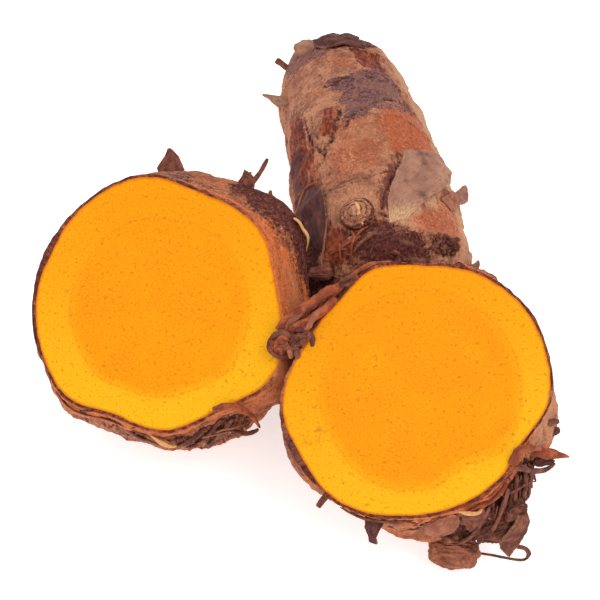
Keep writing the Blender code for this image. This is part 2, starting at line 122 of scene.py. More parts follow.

# Stained patches: stain, strength, softness of the edge, height, and corners along and round the branch.
# One of strength 0 only lifts or sinks the skin. Some patches are painted shade, one a painted highlight.
PATCHES = {
    "finger": (
        ("purple", 1, 0.8, 0.05, ((33, 114), (34.4, 104), (34.8, 92), (36.2, 80), (37, 64), (37.2, 54),
            (34, 50), (30.6, 51), (28.4, 60), (26.6, 72), (25.2, 84), (24, 94), (23.4, 104), (25, 106),
            (27.5, 105), (30.5, 104), (31.6, 108))),
        ("dark_stain_and_shade", 0.5, 0.6, 0, ((33.6, 110), (34.6, 94), (36.2, 78), (37, 56), (34, 52), (35, 66),
            (33.6, 82), (33, 98))),
        ("purple", 0.55, 1, 0, ((30.4, 50), (30.2, 40), (28.6, 44), (26.2, 62), (25.6, 74), (27.6, 72))),
        ("orange", 0.8, 1, 0, ((33.6, 156), (31, 143), (27, 141), (24, 141), (21, 136), (17.4, 136),
            (16.6, 140), (20, 150), (25, 160), (31, 166))),
        ("purple", 1, 1, 0, ((51, 152), (49, 126), (45.6, 106), (42.6, 102), (42, 126), (42.5, 148))),
        ("purple", 0.6, 0.8, 0, ((36, 152), (34.5, 136), (31, 132), (31, 140), (32.4, 154))),
        ("red", 0.8, 0.7, 0, ((31, 56), (31, 44), (27.6, 38), (27.4, 54))),
        ("red", 1, 0.8, 0, ((32.5, 162), (31, 142), (25, 142), (20, 136), (18.5, 148), (21, 168),
            (30, 170))),
        ("red", 0.8, 0.5, 0, ((27, 122), (24, 121), (21.6, 123), (21.8, 117), (24, 113.5), (26.8, 114))),
        ("red", 0.95, 1.2, 0, ((24, 170), (24, 150), (19, 143), (15.5, 136), (13.5, 150), (15, 172))),
        ("red", 1, 0.8, 0, ((9, 134), (7.4, 122), (6.3, 112), (6.2, 100), (4.8, 106), (3.2, 124),
            (3.6, 140))),
        ("red", 0.95, 0.8, 0, ((43.4, 78), (42, 56), (36.5, 58), (37, 78), (39.5, 86))),
        ("dark_stain_and_shade", 0.45, 0.8, 0, ((44.6, 64), (44.4, 92), (42.6, 88), (41.4, 74), (42, 60))),
        ("orange", 0.95, 1.6, 0, ((24.5, 84), (27, 60), (27.5, 40), (22, 26), (19, 44), (17, 60),
            (17.5, 78))),
        ("orange", 0.5, 1.6, 0, ((24, 108), (25, 88), (19, 78), (13.5, 88), (13, 104), (14, 128),
            (19, 124))),
        ("orange", 0.5, 1.2, 0, ((41, 108), (40.5, 84), (37.5, 84), (37, 106))),
        ("orange", 0.65, 1.4, 0, ((8.4, 76), (9.6, 48), (9.5, 26), (5.5, 34), (5, 56), (5.2, 76))),
        ("dark_stain_and_shade", 0.85, 0.8, 0, ((26, 168), (25.8, 147), (22.2, 144), (21.6, 166))),
        ("dark_stain_and_shade", 0.6, 1.2, 0, ((21.5, 172), (20, 152), (15.5, 140), (13.5, 150), (15, 172))),
        ("dark_stain_and_shade", 0.6, 0.5, 0, ((30, 146), (30, 142), (26, 141), (26, 145))),
        ("dark_stain_and_shade", 0.9, 0.9, -0.15, ((7.2, 106), (6.6, 96), (6.2, 86), (5.2, 78), (4.4, 68), (2.6, 62),
            (0.5, 72), (0.5, 112), (3.6, 120))),
        ("dark_stain_and_shade", 0.85, 0.8, 0, ((3.6, 142), (3.4, 120), (1, 112), (-1, 112), (-1, 146))),
        ("dark_stain_and_shade", 0.5, 0.8, 0, ((1.4, 70), (2.6, 50), (2.4, 34), (0.6, 30), (0.2, 70))),
        ("red", 0.6, 1.4, 0, ((6.6, 104), (5.6, 90), (3.6, 82), (2, 96), (3, 110))),
        ("dark_stain_and_shade", 0.7, 0.6, 0, ((4.8, 68), (5.2, 52), (5, 38), (3.4, 34), (2.8, 50), (2.6, 66))),
        ("dark_stain_and_shade", 0.7, 0.4, 0, ((2, 66), (1.6, 40), (1.8, 10), (-1, 10), (-1, 66))),
        ("pale", 0.15, 0.35, 0.38, ((29, 138), (27, 140), (24.4, 137.5), (22.2, 134), (19.8, 128),
            (20.4, 120), (22.2, 116), (23.4, 112), (26.4, 110), (29, 114))),
        ("orange", 0.9, 0.5, 0, ((25.8, 119), (27, 114), (25.8, 110.5), (23.4, 112.5), (21.4, 120),
            (22.2, 123))),
        ("purple", 0.6, 0.6, 0, ((10.6, 97), (13, 84), (15.8, 76), (16.2, 72), (15, 72), (11, 84),
            (8, 91))),
        ("red", 0.8, 0.5, 0, ((7.6, 96), (10.6, 95), (14, 82), (16.8, 74), (16.6, 69), (12, 80), (8, 90))),
        ("dark_stain_and_shade", 0.8, 0.5, -0.1, ((7.4, 127), (6.4, 120), (6.2, 112), (6.8, 104), (7.6, 101), (7.4, 110))),
        ("orange", 0.95, 0.6, 0.1, ((8, 141), (6.8, 130), (6, 118), (4.2, 112), (3.8, 124), (4.6, 140))),
        ("orange", 0.8, 0.4, 0, ((7.4, 100), (7.2, 94), (6.6, 93), (6.6, 99))),
        ("pale", 0, 2, -0.25, ((22, 50), (22, 22), (36, 22), (36, 50))),
        ("pale", 0, 1.6, 0.28, ((39, 150), (39, 185), (57, 185), (57, 110), (50, 120))),
        ("pale", 0, 1.6, 0.28, ((41, 10), (41, 52), (52, 52), (52, 10))),
        # Painted shade beside and behind the crotch scale
        ("dark_stain_and_shade", 0.95, 0.7, 0, ((16, 176), (13, 138), (8.5, 136), (6, 146), (2, 150), (2, 180))),
        ("dark_stain_and_shade", 0.9, 0.6, 0, ((54, 56), (54, 122), (46, 112), (43.4, 94), (43.4, 66), (47, 48))),
        ("pale", 0.4, 0.6, 0, ((54, 166), (54, 126), (48, 122), (46.5, 136), (49, 158))),
        ("pale", 0.8, 0.8, 0.05, ((10.4, 88), (10.6, 70), (10.4, 50), (8.8, 56), (7.6, 72), (6.4, 84),
            (7.2, 92))),
        # Painted highlight: a pale sheen along the finger's right limb
        ("pale", 0.6, 0.7, 0, ((46, 54), (40, 42), (30, 36), (20, 32), (10, 30), (4, 32), (4, 10),
            (46, 10))),
        ("pale", 0.2, 1.5, 0, ((40, 146), (40.5, 122), (37, 116), (33.5, 116), (33, 128), (35, 146))),
        ("pale", 0.35, 2, 0, ((24, 106), (24, 84), (19, 84), (18, 108))),
        ("pale", 0.3, 1.2, 0, ((12.5, 130), (11.8, 104), (12.2, 92), (9, 96), (7, 104), (8, 128))),
    ),
    "left_stub": (
        ("orange", 0.9, 1, 0, ((-2, 70), (2, 66), (2.6, 56), (3.4, 40), (3, 20), (1.5, 6), (-2, 4))),
        ("orange", 0.95, 1, 0, ((0, 56), (3, 52), (6, 44), (7, 36), (7.2, 22), (4, 10), (0, 6))),
        ("pale", 0.35, 1.2, 0, ((1, 46), (4.5, 40), (6, 30), (5, 18), (1.5, 20))),
        ("orange", 0.6, 0.8, 0, ((-1, 350), (3, 350), (4, 336), (1.4, 332), (-1, 334))),
        ("orange", 0.7, 0.8, 0, ((0.2, 214), (0.2, 290), (1.7, 290), (1.7, 214))),
        ("dark_stain_and_shade", 0.85, 0.9, 0, ((2.4, 84), (5, 90), (9, 90), (12, 60), (12, 20), (8, 24), (6.2, 36),
            (4.6, 46), (2.6, 58), (1.2, 70))),
        ("dark_stain_and_shade", 0.5, 1, 0, ((0.6, 74), (2.4, 76), (4.4, 50), (5.6, 34), (4.4, 30), (2.6, 46), (0.8, 58))),
        ("pale", 0.2, 0.8, 0, ((-1, 114), (2.7, 116), (4.5, 100), (3.6, 88), (1.5, 84), (-1, 92))),
        ("pale", 0.3, 0.6, 0, ((-1, 0), (0.4, 4), (2.5, 354), (4.5, 342), (4, 330), (1.4, 334), (-1, 342))),
        ("red", 0.7, 0.7, 0, ((-1, 216), (2, 220), (3, 200), (2.4, 184), (-1, 182))),
        # Painted shade where the skin sinks under the mat of roots
        ("dark_stain_and_shade", 0.5, 0.8, -0.2, ((1.4, 300), (7, 300), (8, 330), (5.5, 336), (2.4, 331), (1.6, 318))),
        ("dark_stain_and_shade", 0.5, 1, 0, ((-1, 112), (1.6, 112), (2.4, 100), (2, 88), (-1, 88))),
        ("purple", 0.7, 0.8, 0, ((1, 124), (3.4, 120), (4.6, 108), (2.6, 100), (0.8, 108))),
        ("red", 0.7, 0.8, 0, ((-1, 196), (0.8, 200), (1.2, 186), (0.8, 166), (-1, 166))),
        ("dark_stain_and_shade", 0.6, 0.6, 0, ((-1, 192), (0.4, 190), (0.4, 172), (-1, 172))),
        ("pale", 0, 2, -0.8, ((2.6, 350), (2.6, 337), (9, 330), (11, 346))),
        ("pale", 0, 1.5, -0.45, ((2.4, 104), (2.8, 86), (4.2, 78), (8.5, 76), (9, 106))),
        ("pale", 0, 1.4, 0.5, ((3, 69), (3, 54), (8.5, 52), (8.5, 69))),
        ("pale", 0, 1.5, 0.6, ((2, 240), (2, 276), (8, 276), (8, 240))),
        ("purple", 0.5, 1.2, 0, ((2, 292), (6, 300), (8, 260), (7, 230), (3, 236), (1.5, 262))),
    ),
    "right_stub": (
        ("pale", 0.45, 0.8, 0, ((-1, 10), (6, 10), (6.8, 350), (4.2, 341), (1.6, 338), (-1, 346))),
        # Painted shade where the skin sinks under the mat of roots
        ("dark_stain_and_shade", 0.75, 0.8, -0.2, ((1.6, 334), (7, 338), (9, 318), (8, 292), (4, 290), (2.6, 302),
            (2, 318))),
        ("pale", 0, 2, -0.9, ((5, 318), (5, 336), (13, 336), (13, 316))),
        ("pale", 0, 1.6, -0.4, ((0.6, 162), (0.6, 196), (9, 196), (9, 162))),
        ("pale", 0, 1.6, 0.1, ((1, 203), (1, 222), (6, 222), (6, 203))),
        ("orange", 0.6, 0.8, 0, ((0.2, 236), (0.2, 330), (1.9, 330), (1.9, 236))),
        # Painted shade in two sunk pits of the mat
        ("dark_stain_and_shade", 0.9, 0.6, -0.5, ((3.4, 309), (3.8, 318), (6, 320), (6.4, 312), (5, 306))),
        ("dark_stain_and_shade", 0.9, 0.4, -0.3, ((2, 308), (2.4, 315), (3.4, 313), (3, 306))),
        ("pale", 0, 2, -0.8, ((1.6, 230), (1.6, 262), (9, 262), (9, 230))),
        ("pale", 0, 1.2, 0.5, ((3.4, 344), (3.4, 360), (7.5, 360), (7.5, 344))),
        ("pale", 0, 1.5, 0.6, ((3, 264), (3, 276), (8, 284), (8, 262))),
        ("dark_stain_and_shade", 0.9, 0.6, 0, ((1.4, 118), (6, 112), (9, 140), (9, 176), (3, 172), (2, 150), (1.8, 130))),
        ("purple", 0.5, 0.6, 0, ((-1, 218), (3, 226), (5, 206), (2, 194), (-1, 200))),
        ("red", 0.8, 0.6, 0, ((-1, 216), (2, 220), (3, 206), (1, 198), (-1, 200))),
        ("red", 0.6, 0.8, 0, ((-1, 300), (0.8, 300), (1.4, 320), (1, 336), (-1, 336))),
        ("dark_stain_and_shade", 0.6, 0.8, 0, ((3, 92), (8, 90), (8, 60), (4, 52), (2.6, 70))),
        ("dark_stain_and_shade", 0.9, 0.7, 0.7, ((0.5, 74), (3.6, 75), (3.6, 59), (0.5, 58))),
    ),
    # Painted shade on the mother where it lies deep between the branches
    "mother": (("dark_stain_and_shade", 0.9, 1.2, 0, ((10, 20), (10, 110), (22, 110), (24, 20))),),
}

# Creases: width, depth, how strong their painted shade is, and points along and round the branch. A negative
# depth is a ridge.
CREASES = {
    "finger": (
        (0.32, 0.1, 0.9, ((33, 114), (32.6, 106), (34, 94), (35.2, 80), (35, 62), (32.6, 55))),
        (0.3, 0.12, 0.9, ((24.4, 104), (24.6, 98), (26.2, 86), (27.8, 74), (28.8, 62), (29, 50),
            (28.8, 42))),
        (0.26, 0.14, 0.9, ((24.2, 99), (23.2, 104), (22.3, 109))),
        (0.25, 0.15, 0.8, ((29.8, 151), (28.4, 147), (26, 143), (25.2, 141))),
        (0.18, 0.12, 0.55, ((13.3, 134), (12.2, 118), (12, 104), (12.5, 90), (13.8, 80))),
        (0.22, 0.15, 0.7, ((19.8, 126), (18.8, 129), (18.2, 138), (19.6, 150))),
        (0.3, 0.24, 0.9, ((29, 138), (25.6, 136.5), (22.8, 134.5), (19.8, 128))),
        (0.28, 0.2, 0.9, ((19.8, 128), (21.2, 119.5), (22.8, 114), (24.6, 110.5), (26.4, 108))),
        (0.24, 0.14, 0.7, ((27.4, 130), (24.8, 131), (22.4, 128), (21, 124))),
        (0.26, 0.1, 0.8, ((33.4, 112), (33.8, 102), (34.6, 92), (36, 80), (36.8, 66), (37, 55), (34, 51),
            (31.4, 51))),
        (0.3, -0.3, 0, ((1.4, 118), (1.9, 102), (2.3, 86), (2.1, 68), (2.5, 50), (2.3, 34))),
        (0.26, -0.22, 0, ((5.8, 106), (4.6, 98), (3.8, 86), (3.2, 74))),
        (0.25, 0.15, 0.8, ((15.6, 73), (13, 80), (11, 86), (9.4, 92), (7.9, 96), (7.4, 92))),
        (0.25, 0.14, 0.7, ((43.2, 110), (42.4, 92), (42.2, 74), (43, 60))),
        (0.2, 0.1, 0.5, ((37.4, 116), (34.8, 114), (33.4, 117))),
    ),
    "left_stub": (
        (0.25, 0.15, 0.6, ((2.6, 112), (2.8, 100), (2.6, 88), (3.2, 76), (4, 64), (5, 52))),
        (0.25, 0.15, 0.7, ((1.8, 246), (2.4, 262), (2, 280), (2.4, 296), (3.4, 310))),
        (0.25, 0.18, 0.7, ((3.8, 240), (4.4, 262), (3.8, 284), (4.6, 300))),
        (0.2, 0.15, 0.8, ((0.7, 222), (0.9, 206), (0.6, 190), (1, 178))),
        (0.22, 0.12, 0.6, ((0.6, 354), (1.2, 344), (2, 334))),
    ),
    "right_stub": (
        (0.2, 0.1, 0.5, ((0.4, 6), (2.4, 0), (4.6, 352))),
        (0.18, 0.1, 0.5, ((0.3, 352), (2.2, 348), (4.4, 342))),
        (0.25, 0.15, 0.8, ((0.8, 224), (1.4, 240), (1.2, 256), (1.8, 272), (1.6, 286))),
        (0.4, 0.5, 1, ((6.6, 284), (5.2, 289), (4, 295), (3, 300))),
        (0.6, 0.8, 1, ((3.4, 330), (4.2, 333), (5, 336))),
        (0.6, 0.7, 1, ((3, 311), (4, 314), (5, 319))),
    ),
    "mother": (),
}

# Mats of dried roots: their corners along and round the stubs, how many degrees their roots run askew, and a
# degree round the stubs in millimetres
MATS = {
    "left_stub": ((1.6, 298), (1.8, 316), (2.4, 331), (5.5, 336), (8, 330), (7.5, 294)),
    "right_stub": ((1.9, 333), (7, 339), (9.5, 320), (9, 284), (4.6, 286), (2.6, 300)),
}
MAT_FLOW = 42.0
MAT_DEGREE = 0.26

# Finishes of the small pieces
PAPERY, SMOOTH, BROWN, DEEP = "papery", "smooth", "brown", "deep"
ROOTLET, EMBER, CREAM = "root", "reddish", "cream"

# Their slot, material, lighter and deeper colour, how its streaks are drawn out, and roughness
DRY_FINISHES = {
    PAPERY: ("papery_scale", "papery_scale", (178, 128, 104), (142, 96, 80), (1.0, 0.6, 1.0), 0.75),
    SMOOTH: ("papery_scale", "smooth_peel", (180, 110, 80), (128, 72, 54), (1.0, 0.25, 1.0), 0.6),
    BROWN: ("papery_scale", "brown_scale", (150, 90, 68), (86, 44, 38), (1.0, 0.4, 1.0), 0.7),
    DEEP: ("papery_scale", "purple_brown_scale", (116, 66, 58), (58, 28, 32), (1.0, 0.5, 1.0), 0.7),
    ROOTLET: ("rootlet", "dried_root", (146, 88, 68), (56, 28, 27), (1.0, 1.0, 0.3), 0.75),
    EMBER: ("rootlet", "reddish_root", (186, 96, 58), (108, 48, 36), (1.0, 1.0, 0.25), 0.7),
    CREAM: ("papery_scale", "cream_fibre", (240, 186, 124), (214, 142, 84), (1.0, 1.0, 0.25), 0.6),
}

# Thin scales and flaps: branch, finish, thickness, crumpling, how pale the root is, and the two side edges
# from the root to the tip, each as places along and round the branch and a height, or as points in the
# working frame where no branch is named
SHEETS = {
    "papery_scale": ("finger", PAPERY, 0.2, 0.14, 1, ((6.7, 92, 0), (9, 89.5, 0.25), (11.2, 83.5, 0.5),
        (13.8, 75.5, 0.7), (16.6, 70, 0.8)), ((7, 80, 0), (8.8, 65, 0.3), (11, 50, 0.6), (13.8, 36, 0.95),
        (16.6, 30, 1.2), (18.6, 38, 0.9))),
    "torn_piece": ("finger", SMOOTH, 0.2, 0.08, 0, ((10.4, 47, 0.1), (12, 38, 0.3), (13.6, 31, 0.5)),
        ((9.6, 38, 0.1), (10.2, 32, 0.4), (11.2, 27, 0.6))),
    "hooked_shred": ("finger", PAPERY, 0.25, 0.12, 0.3, ((12.6, 30, -0.1), (14.4, 24, 0.5), (16, 19, 1.5),
        (16.4, 17, 1.9)), ((11.2, 30, -0.1), (12.4, 22, 0.7), (13.6, 17, 1.5), (14.6, 16, 1.8))),
    "left_shred": ("finger", PAPERY, 0.25, 0.12, 0, ((38.4, 156, -0.2), (38, 158, 0.9), (38.2, 160, 1.5)),
        ((41, 158, -0.2), (41.2, 160, 1.3), (42.2, 163, 2.9))),
    "crotch_scale": ("finger", DEEP, 0.22, 0.2, 0, ((6, 140, 0.1), (7.6, 148, 0.5), (10, 152, 0.7),
        (13, 151, 0.8), (15.8, 144, 0.5)), ((6, 138.5, 0.1), (8, 135, 0.4), (10.4, 131, 0.6),
        (12.8, 130.5, 0.6), (15.4, 137, 0.4))),
    "tip_cap": ("finger", DEEP, 0.25, 0.45, 0, ((52.6, 118, 0), (49.4, 116, 0.4), (46.4, 111, 0.45),
        (44, 104, 0.2)), ((53, 68, 0), (49.4, 66, 0.45), (46, 64, 0.5), (43.4, 66, 0.2))),
    "standing_scale": ("left_stub", BROWN, 0.4, 0.12, 0, ((6.8, 125, -0.5), (6.8, 126, 0.7),
        (6.9, 122.5, 1.9), (6.8, 120.8, 2.9)), ((6.8, 114, -0.5), (6.9, 115.5, 0.9), (6.9, 117.4, 2),
        (6.8, 119.8, 2.9))),
    "stub_pair": ("left_stub", BROWN, 0.4, 0.1, 0, ((6.4, 90, -0.9), (6.6, 89.5, 0.6), (6.8, 90, 1.3)),
        ((6.9, 83, -0.9), (6.9, 84.5, 0.4), (6.9, 85.5, 0.8))),
    "front_flap_left": ("right_stub", SMOOTH, 0.22, 0.35, 0, ((0.9, 289, 0.1), (1.6, 292, 0.5),
        (2.6, 291, 0.9), (3.6, 287, 0.9), (4, 284, 0.7)), ((1.2, 281, 0.1), (2, 276, 0.5), (3, 275, 0.8),
        (3.8, 277, 0.8), (4.3, 281, 0.7))),
    "front_flap_right": ("right_stub", BROWN, 0.22, 0.35, 0, ((0.9, 303, 0.1), (2, 303, 0.5),
        (3, 300, 0.7)), ((1, 294, 0.1), (2.2, 293, 0.6), (3.6, 295, 0.8))),
    "pod_scale": (None, BROWN, 0.35, 0.2, 0, ((25.22, -18.8, 9.7), (24.79, -19.43, 8.79),
        (23.92, -20.03, 7.63), (23.16, -20.31, 6.61), (23.32, -20.65, 5.67), (24.04, -21.06, 4.93)),
        ((26.25, -17.97, 9.1), (26.58, -18.45, 8.17), (26.44, -19.11, 7.09), (25.94, -19.71, 6.33),
        (25.15, -20.4, 5.49), (24.24, -21, 4.73))),
    "bottom_shred": ("right_stub", DEEP, 0.35, 0.2, 0, ((1.6, 260, -0.2), (2.2, 258.5, 0.9),
        (2.8, 258, 1.9), (3.2, 259, 2.4)), ((2, 251, -0.2), (2.4, 252.5, 0.9), (3, 255, 1.7),
        (3.4, 256, 2.2))),
}

SHEET_COLUMNS = 30
SHEET_ROWS = 34

# Scales that are alike: branch, place of the root along and round it, half the width in degrees, how far
# the leaf reaches along the branch and out from it, the width of its tip as a share, and its tip's turn
LEAVES = (
    ("finger", 3, 2, 9, 2.5, 0.8, 0.5, 0),
    ("finger", 12.5, 205, 26, 7, 1, 0.4, 0),
    ("finger", 24, 330, 24, 7, 1, 0.4, 5),
    ("mother", 18, 200, 24, 6, 1, 0.4, 0),
    ("left_stub", 7, 190, 14, 5, 0.9, 0.4, 0),
    ("right_stub", 6.5, 40, 12, 5, 0.9, 0.4, 0),
)

# The round bud: place along and round the finger, radius, and profile as shares of the radius with heights
BUD = (8.2, 111.5, 2.05)
BUD_PROFILE = (
    (0, 1.15), (0.2, 1.12), (0.34, 0.98), (0.42, 0.86), (0.5, 0.92), (0.6, 0.84), (0.68, 0.6), (0.76, 0.56),
    (0.84, 0.5), (0.93, 0.24), (1, 0), (1.02, -0.5), (0, -0.6),
)

# Root stubs: branch, place along and round it, the way the root points, length, and radii at both ends
ROOTS = (
    ("finger", 48.6, 155, (-0.8, 0.45, 0.45), 2.2, 0.34, 0.5),
    ("left_stub", 7, 85.5, (0.55, 0.62, 0.52), 3.5, 0.42, 0.25),
    ("left_stub", 6.4, 76, (0.1, 0.7, 0.6), 0.4, 0.6, 0.2),
    ("right_stub", 1, 233, (-0.55, -0.6, -0.4), 1.5, 0.5, 0.4),
)
BACK_LIMIT = -0.5
BACK_ROOTS = 16
BACK_ROOT_LENGTHS = (1.0, 2.6)
SEED = 11

# Strands of dried root: branch, finish, radius, flatness, and points along and round the branch with a height
STRANDS = (
    ("right_stub", EMBER, 0.55, 0.55, ((0.5, 104, 0), (0.4, 122, 0.5), (0.6, 138, 0.5), (0.9, 152, 0.4),
        (0.7, 160, 0.6))),
    ("right_stub", EMBER, 0.4, 0.7, ((2.2, 104, -0.2), (1.9, 120, 0.5), (1.6, 138, 0.6), (1.4, 152, 0.3),
        (1.8, 162, 0.3))),
    ("right_stub", ROOTLET, 0.3, 0.8, ((1.3, 108, 0.2), (1.1, 124, 0.6), (1.3, 140, 0.5), (2.6, 150, 0))),
    ("right_stub", ROOTLET, 0.32, 0.8, ((2.2, 330, 0), (3.6, 325, -0.1), (5.4, 319, -0.5),
        (7.4, 312, -0.7))),
    ("right_stub", ROOTLET, 0.3, 0.8, ((1.8, 324, 0), (3, 319, 0), (4.6, 313, -0.1), (6.8, 305, -0.2))),
    ("right_stub", ROOTLET, 0.36, 0.8, ((2, 317, 0), (3, 311, 0.3), (4.6, 304, 0.4), (6.6, 296, 0.1))),
    ("right_stub", ROOTLET, 0.32, 0.8, ((3.4, 332, 0), (4.8, 328, -0.3), (6.6, 322, -0.6),
        (8.2, 316, -0.8))),
    ("right_stub", ROOTLET, 0.34, 0.8, ((2.4, 306, 0), (3.6, 300, 0.3), (5.2, 294, 0.3), (6.8, 287, 0))),
    ("right_stub", EMBER, 0.3, 0.8, ((1.2, 318, 0.1), (1.4, 308, 0.4), (1.2, 298, 0.3), (1.6, 288, 0.1))),
    ("right_stub", ROOTLET, 0.2, 0.9, ((5, 329, -0.5), (3.8, 325, 0), (2.8, 320, 0.2), (2.2, 313, 0.1))),
    ("right_stub", ROOTLET, 0.3, 0.7, ((2.6, 270, 0), (4, 278, 0.3), (5.2, 286, 0.3), (6.4, 296, 0))),
    ("right_stub", ROOTLET, 0.2, 0.8, ((0.9, 272, 0), (0.8, 262, 0.2), (0.9, 250, 0.2), (1.4, 240, 0))),
    ("right_stub", ROOTLET, 0.24, 0.8, ((1.2, 280, 0.1), (2.6, 276, 0.4), (3.6, 270, 0.3), (4.6, 262, 0))),
    ("right_stub", SMOOTH, 0.16, 0.8, ((0.9, 284, 0.2), (1.8, 278, 0.5), (2.4, 272, 0.3))),
    ("right_stub", SMOOTH, 0.15, 0.8, ((0.8, 276, 0.2), (1.6, 274, 0.4), (2.6, 275, 0.3))),
    ("left_stub", ROOTLET, 0.34, 0.8, ((2.6, 328, 0.1), (3.6, 322, 0.3), (5, 315, 0.2), (6.6, 307, 0))),
    ("left_stub", ROOTLET, 0.3, 0.8, ((1.8, 324, 0), (2.6, 317, 0.3), (3.8, 310, 0.3), (5.6, 301, 0))),
    ("left_stub", ROOTLET, 0.3, 0.8, ((3.8, 327, 0), (4.8, 321, 0.1), (6, 314, 0.05), (7.4, 306, -0.2))),
    ("left_stub", ROOTLET, 0.26, 0.8, ((1.6, 316, 0), (2.2, 309, 0.3), (3.2, 302, 0.3), (4.6, 293, 0))),
    ("left_stub", ROOTLET, 0.24, 0.8, ((1, 272, 0), (2.4, 280, 0.2), (3.4, 290, 0.1), (4.2, 302, -0.1))),
    ("left_stub", SMOOTH, 0.16, 0.9, ((2.8, 312, 0.3), (3.2, 319, 0.6), (4, 324, 0.6), (5, 322, 0.4))),
    ("left_stub", SMOOTH, 0.14, 0.9, ((4.6, 330, 0.3), (3.6, 326, 0.6), (3, 321, 0.5), (3.4, 314, 0.2))),
    ("left_stub", ROOTLET, 0.25, 0.5, ((0.9, 240, 0), (1.3, 252, 0.15), (1.1, 266, 0.15), (1.4, 282, 0.15),
        (1.2, 296, 0.1))),
    ("left_stub", ROOTLET, 0.22, 0.5, ((0.5, 226, -0.05), (1, 214, 0.05), (0.8, 202, 0.05), (1.2, 190, 0))),
    ("left_stub", CREAM, 0.48, 0.35, ((5.2, 61.5, 0.7), (5.7, 59.5, 1), (6.3, 57, 0.9), (7.2, 54, 0.9),
        (8, 51, 0.6))),
    ("left_stub", CREAM, 0.66, 0.35, ((2.8, 300, 0.5), (2.2, 297.5, 0.7), (1.5, 295, 0.65),
        (0.6, 291.5, 0.35))),
    ("right_stub", CREAM, 0.66, 0.3, ((1, 302, 0.9), (0.8, 299.5, 1.1), (0.3, 296, 0.9),
        (-0.2, 292.5, 0.4))),
    ("finger", EMBER, 0.15, 0.8, ((7, 118, 0), (5.8, 116, 0.3), (4.6, 119, 0.2), (3.2, 124, 0.1))),
    ("finger", EMBER, 0.16, 0.8, ((6.8, 106, 0.1), (6.4, 112, 0.2), (5.6, 118, 0.2), (5.2, 128, 0.2),
        (5.6, 138, 0))),
    ("finger", EMBER, 0.14, 0.8, ((6.2, 128, 0), (5.4, 126, 0.3), (4.4, 128, 0.3), (3.4, 133, 0.1))),
    ("finger", ROOTLET, 0.22, 0.8, ((6.2, 100, 0.1), (5.2, 106, 0.3), (4.4, 114, 0.3), (3.8, 122, 0.1))),
    ("finger", CREAM, 0.26, 0.6, ((6.9, 109, 0.5), (7.6, 109.5, 0.75), (8.4, 109, 0.72), (8.9, 110, 0.5))),
    ("finger", SMOOTH, 0.13, 0.9, ((15.4, 136, 0.6), (15.7, 142, 0.7), (16.2, 150, 0.6), (17, 160, 0.3),
        (17.6, 170, 0.1))),
    ("finger", SMOOTH, 0.13, 0.9, ((16.2, 148, 0.6), (14.2, 153, 0.9), (11.6, 158, 0.9), (9, 163, 0.5))),
    ("finger", SMOOTH, 0.16, 0.8, ((9, 132, 0.5), (6.6, 138, 0.6), (4.6, 143, 0.4), (3.4, 141, 0.3),
        (2.6, 136, 0.2))),
)

# The way towards the camera, and one on which a root's flat side is laid out
FRONT = np.array((0.0, -0.64, 0.77))
ASLANT = (0.3, 0.2, 0.9)

# No fibre comes nearer to a cut than this, and it turns this many degrees round a branch for a millimetre
FIBRE_START = 0.2
FIBRE_TURN = 3.6

# Fine fibres: branch, how many, the spans along and round it in which they start, the way they run and how
# it spreads, and their height
FIBRES = (
    ("left_stub", 36, (1.6, 5.6), (304, 332), 2.3, 0.35, -0.1),
    ("right_stub", 30, (1.6, 4.2), (298, 334), 2.3, 0.35, -0.2),
    ("right_stub", 30, (4, 7), (292, 326), 2.3, 0.35, -0.7),
    ("right_stub", 16, (0.8, 2.6), (232, 284), 0, 0.7, -0.1),
    ("left_stub", 20, (0.8, 4.6), (226, 296), 0, 0.7, 0),
    ("right_stub", 12, (0.8, 2.4), (100, 156), 0, 0.7, 0),
    ("finger", 10, (3.4, 7), (104, 138), 0, 0.7, 0),
)

# Lumps of dried root: centre, radii across, back and up, turn about the vertical, roughness and grooves
LUMPS = {
    "knot_base": ((-0.9, -1.4, 20.4), (2.1, 1.5, 1.6), 0, 0.3, 0.2, BROWN),
    "knot_middle": ((-2.35, -2.7, 20.9), (1.2, 1, 1.05), 0, 0.5, 0.3, EMBER),
    "knot_right": ((0.4, -2.3, 21.2), (1.35, 1.05, 1.5), 20, 0.5, 0.35, BROWN),
    "knot_end": ((-0.75, -3.2, 20.9), (0.75, 0.7, 0.7), 40, 0.6, 0.4, SMOOTH),
    "knot_heart": ((-1.85, -3.1, 21.55), (0.6, 0.5, 0.55), 0, 0.7, 0.4, SMOOTH),
    "notch_bark": ((5.8, 3.55, 25), (1.5, 0.6, 0.75), 20, 0.5, 0.3, BROWN),
    "knot_top": ((-0.7, -0.9, 22), (1.2, 0.9, 0.9), 0, 0.5, 0.3, EMBER),
    "nut_lump": ((18.1, -19, 2.62), (3.15, 2.1, 2.5), -8, 0.14, 0.3, SMOOTH),
    "nut_lump_base": ((16.2, -17.4, 3.4), (1.3, 1.2, 1.4), 0, 0.3, 0.12, BROWN),
    "mat_lump": ((22.3, -18.4, 6.9), (2.5, 1.9, 2), 20, 0.25, 0.35, ROOTLET),
    "mat_side": ((24.7, -17.4, 8.8), (1.6, 1.5, 2), 10, 0.3, 0.35, ROOTLET),
    "spike_fill": ((28, -12.8, 12.15), (1.5, 0.5, 0.8), 0, 0.3, 0.2, DEEP),
    "mat_back": ((24.2, -16.7, 5.7), (1.6, 1.2, 1.3), 0, 0.3, 0.2, DEEP),
    "web_filler": ((-0.6, -0.2, 13.4), (3, 2.6, 4.4), 0, 0.2, 0.1, DEEP),
    "crotch_lump": ((2.5, 8.6, 20.7), (1.5, 0.9, 0.9), 0, 0.25, 0.2, BROWN),
    "tip_lobe": ((1.1, 54.7, 13.2), (1.9, 1.6, 1.3), -20, 0.16, 0.08, PAPERY),
}

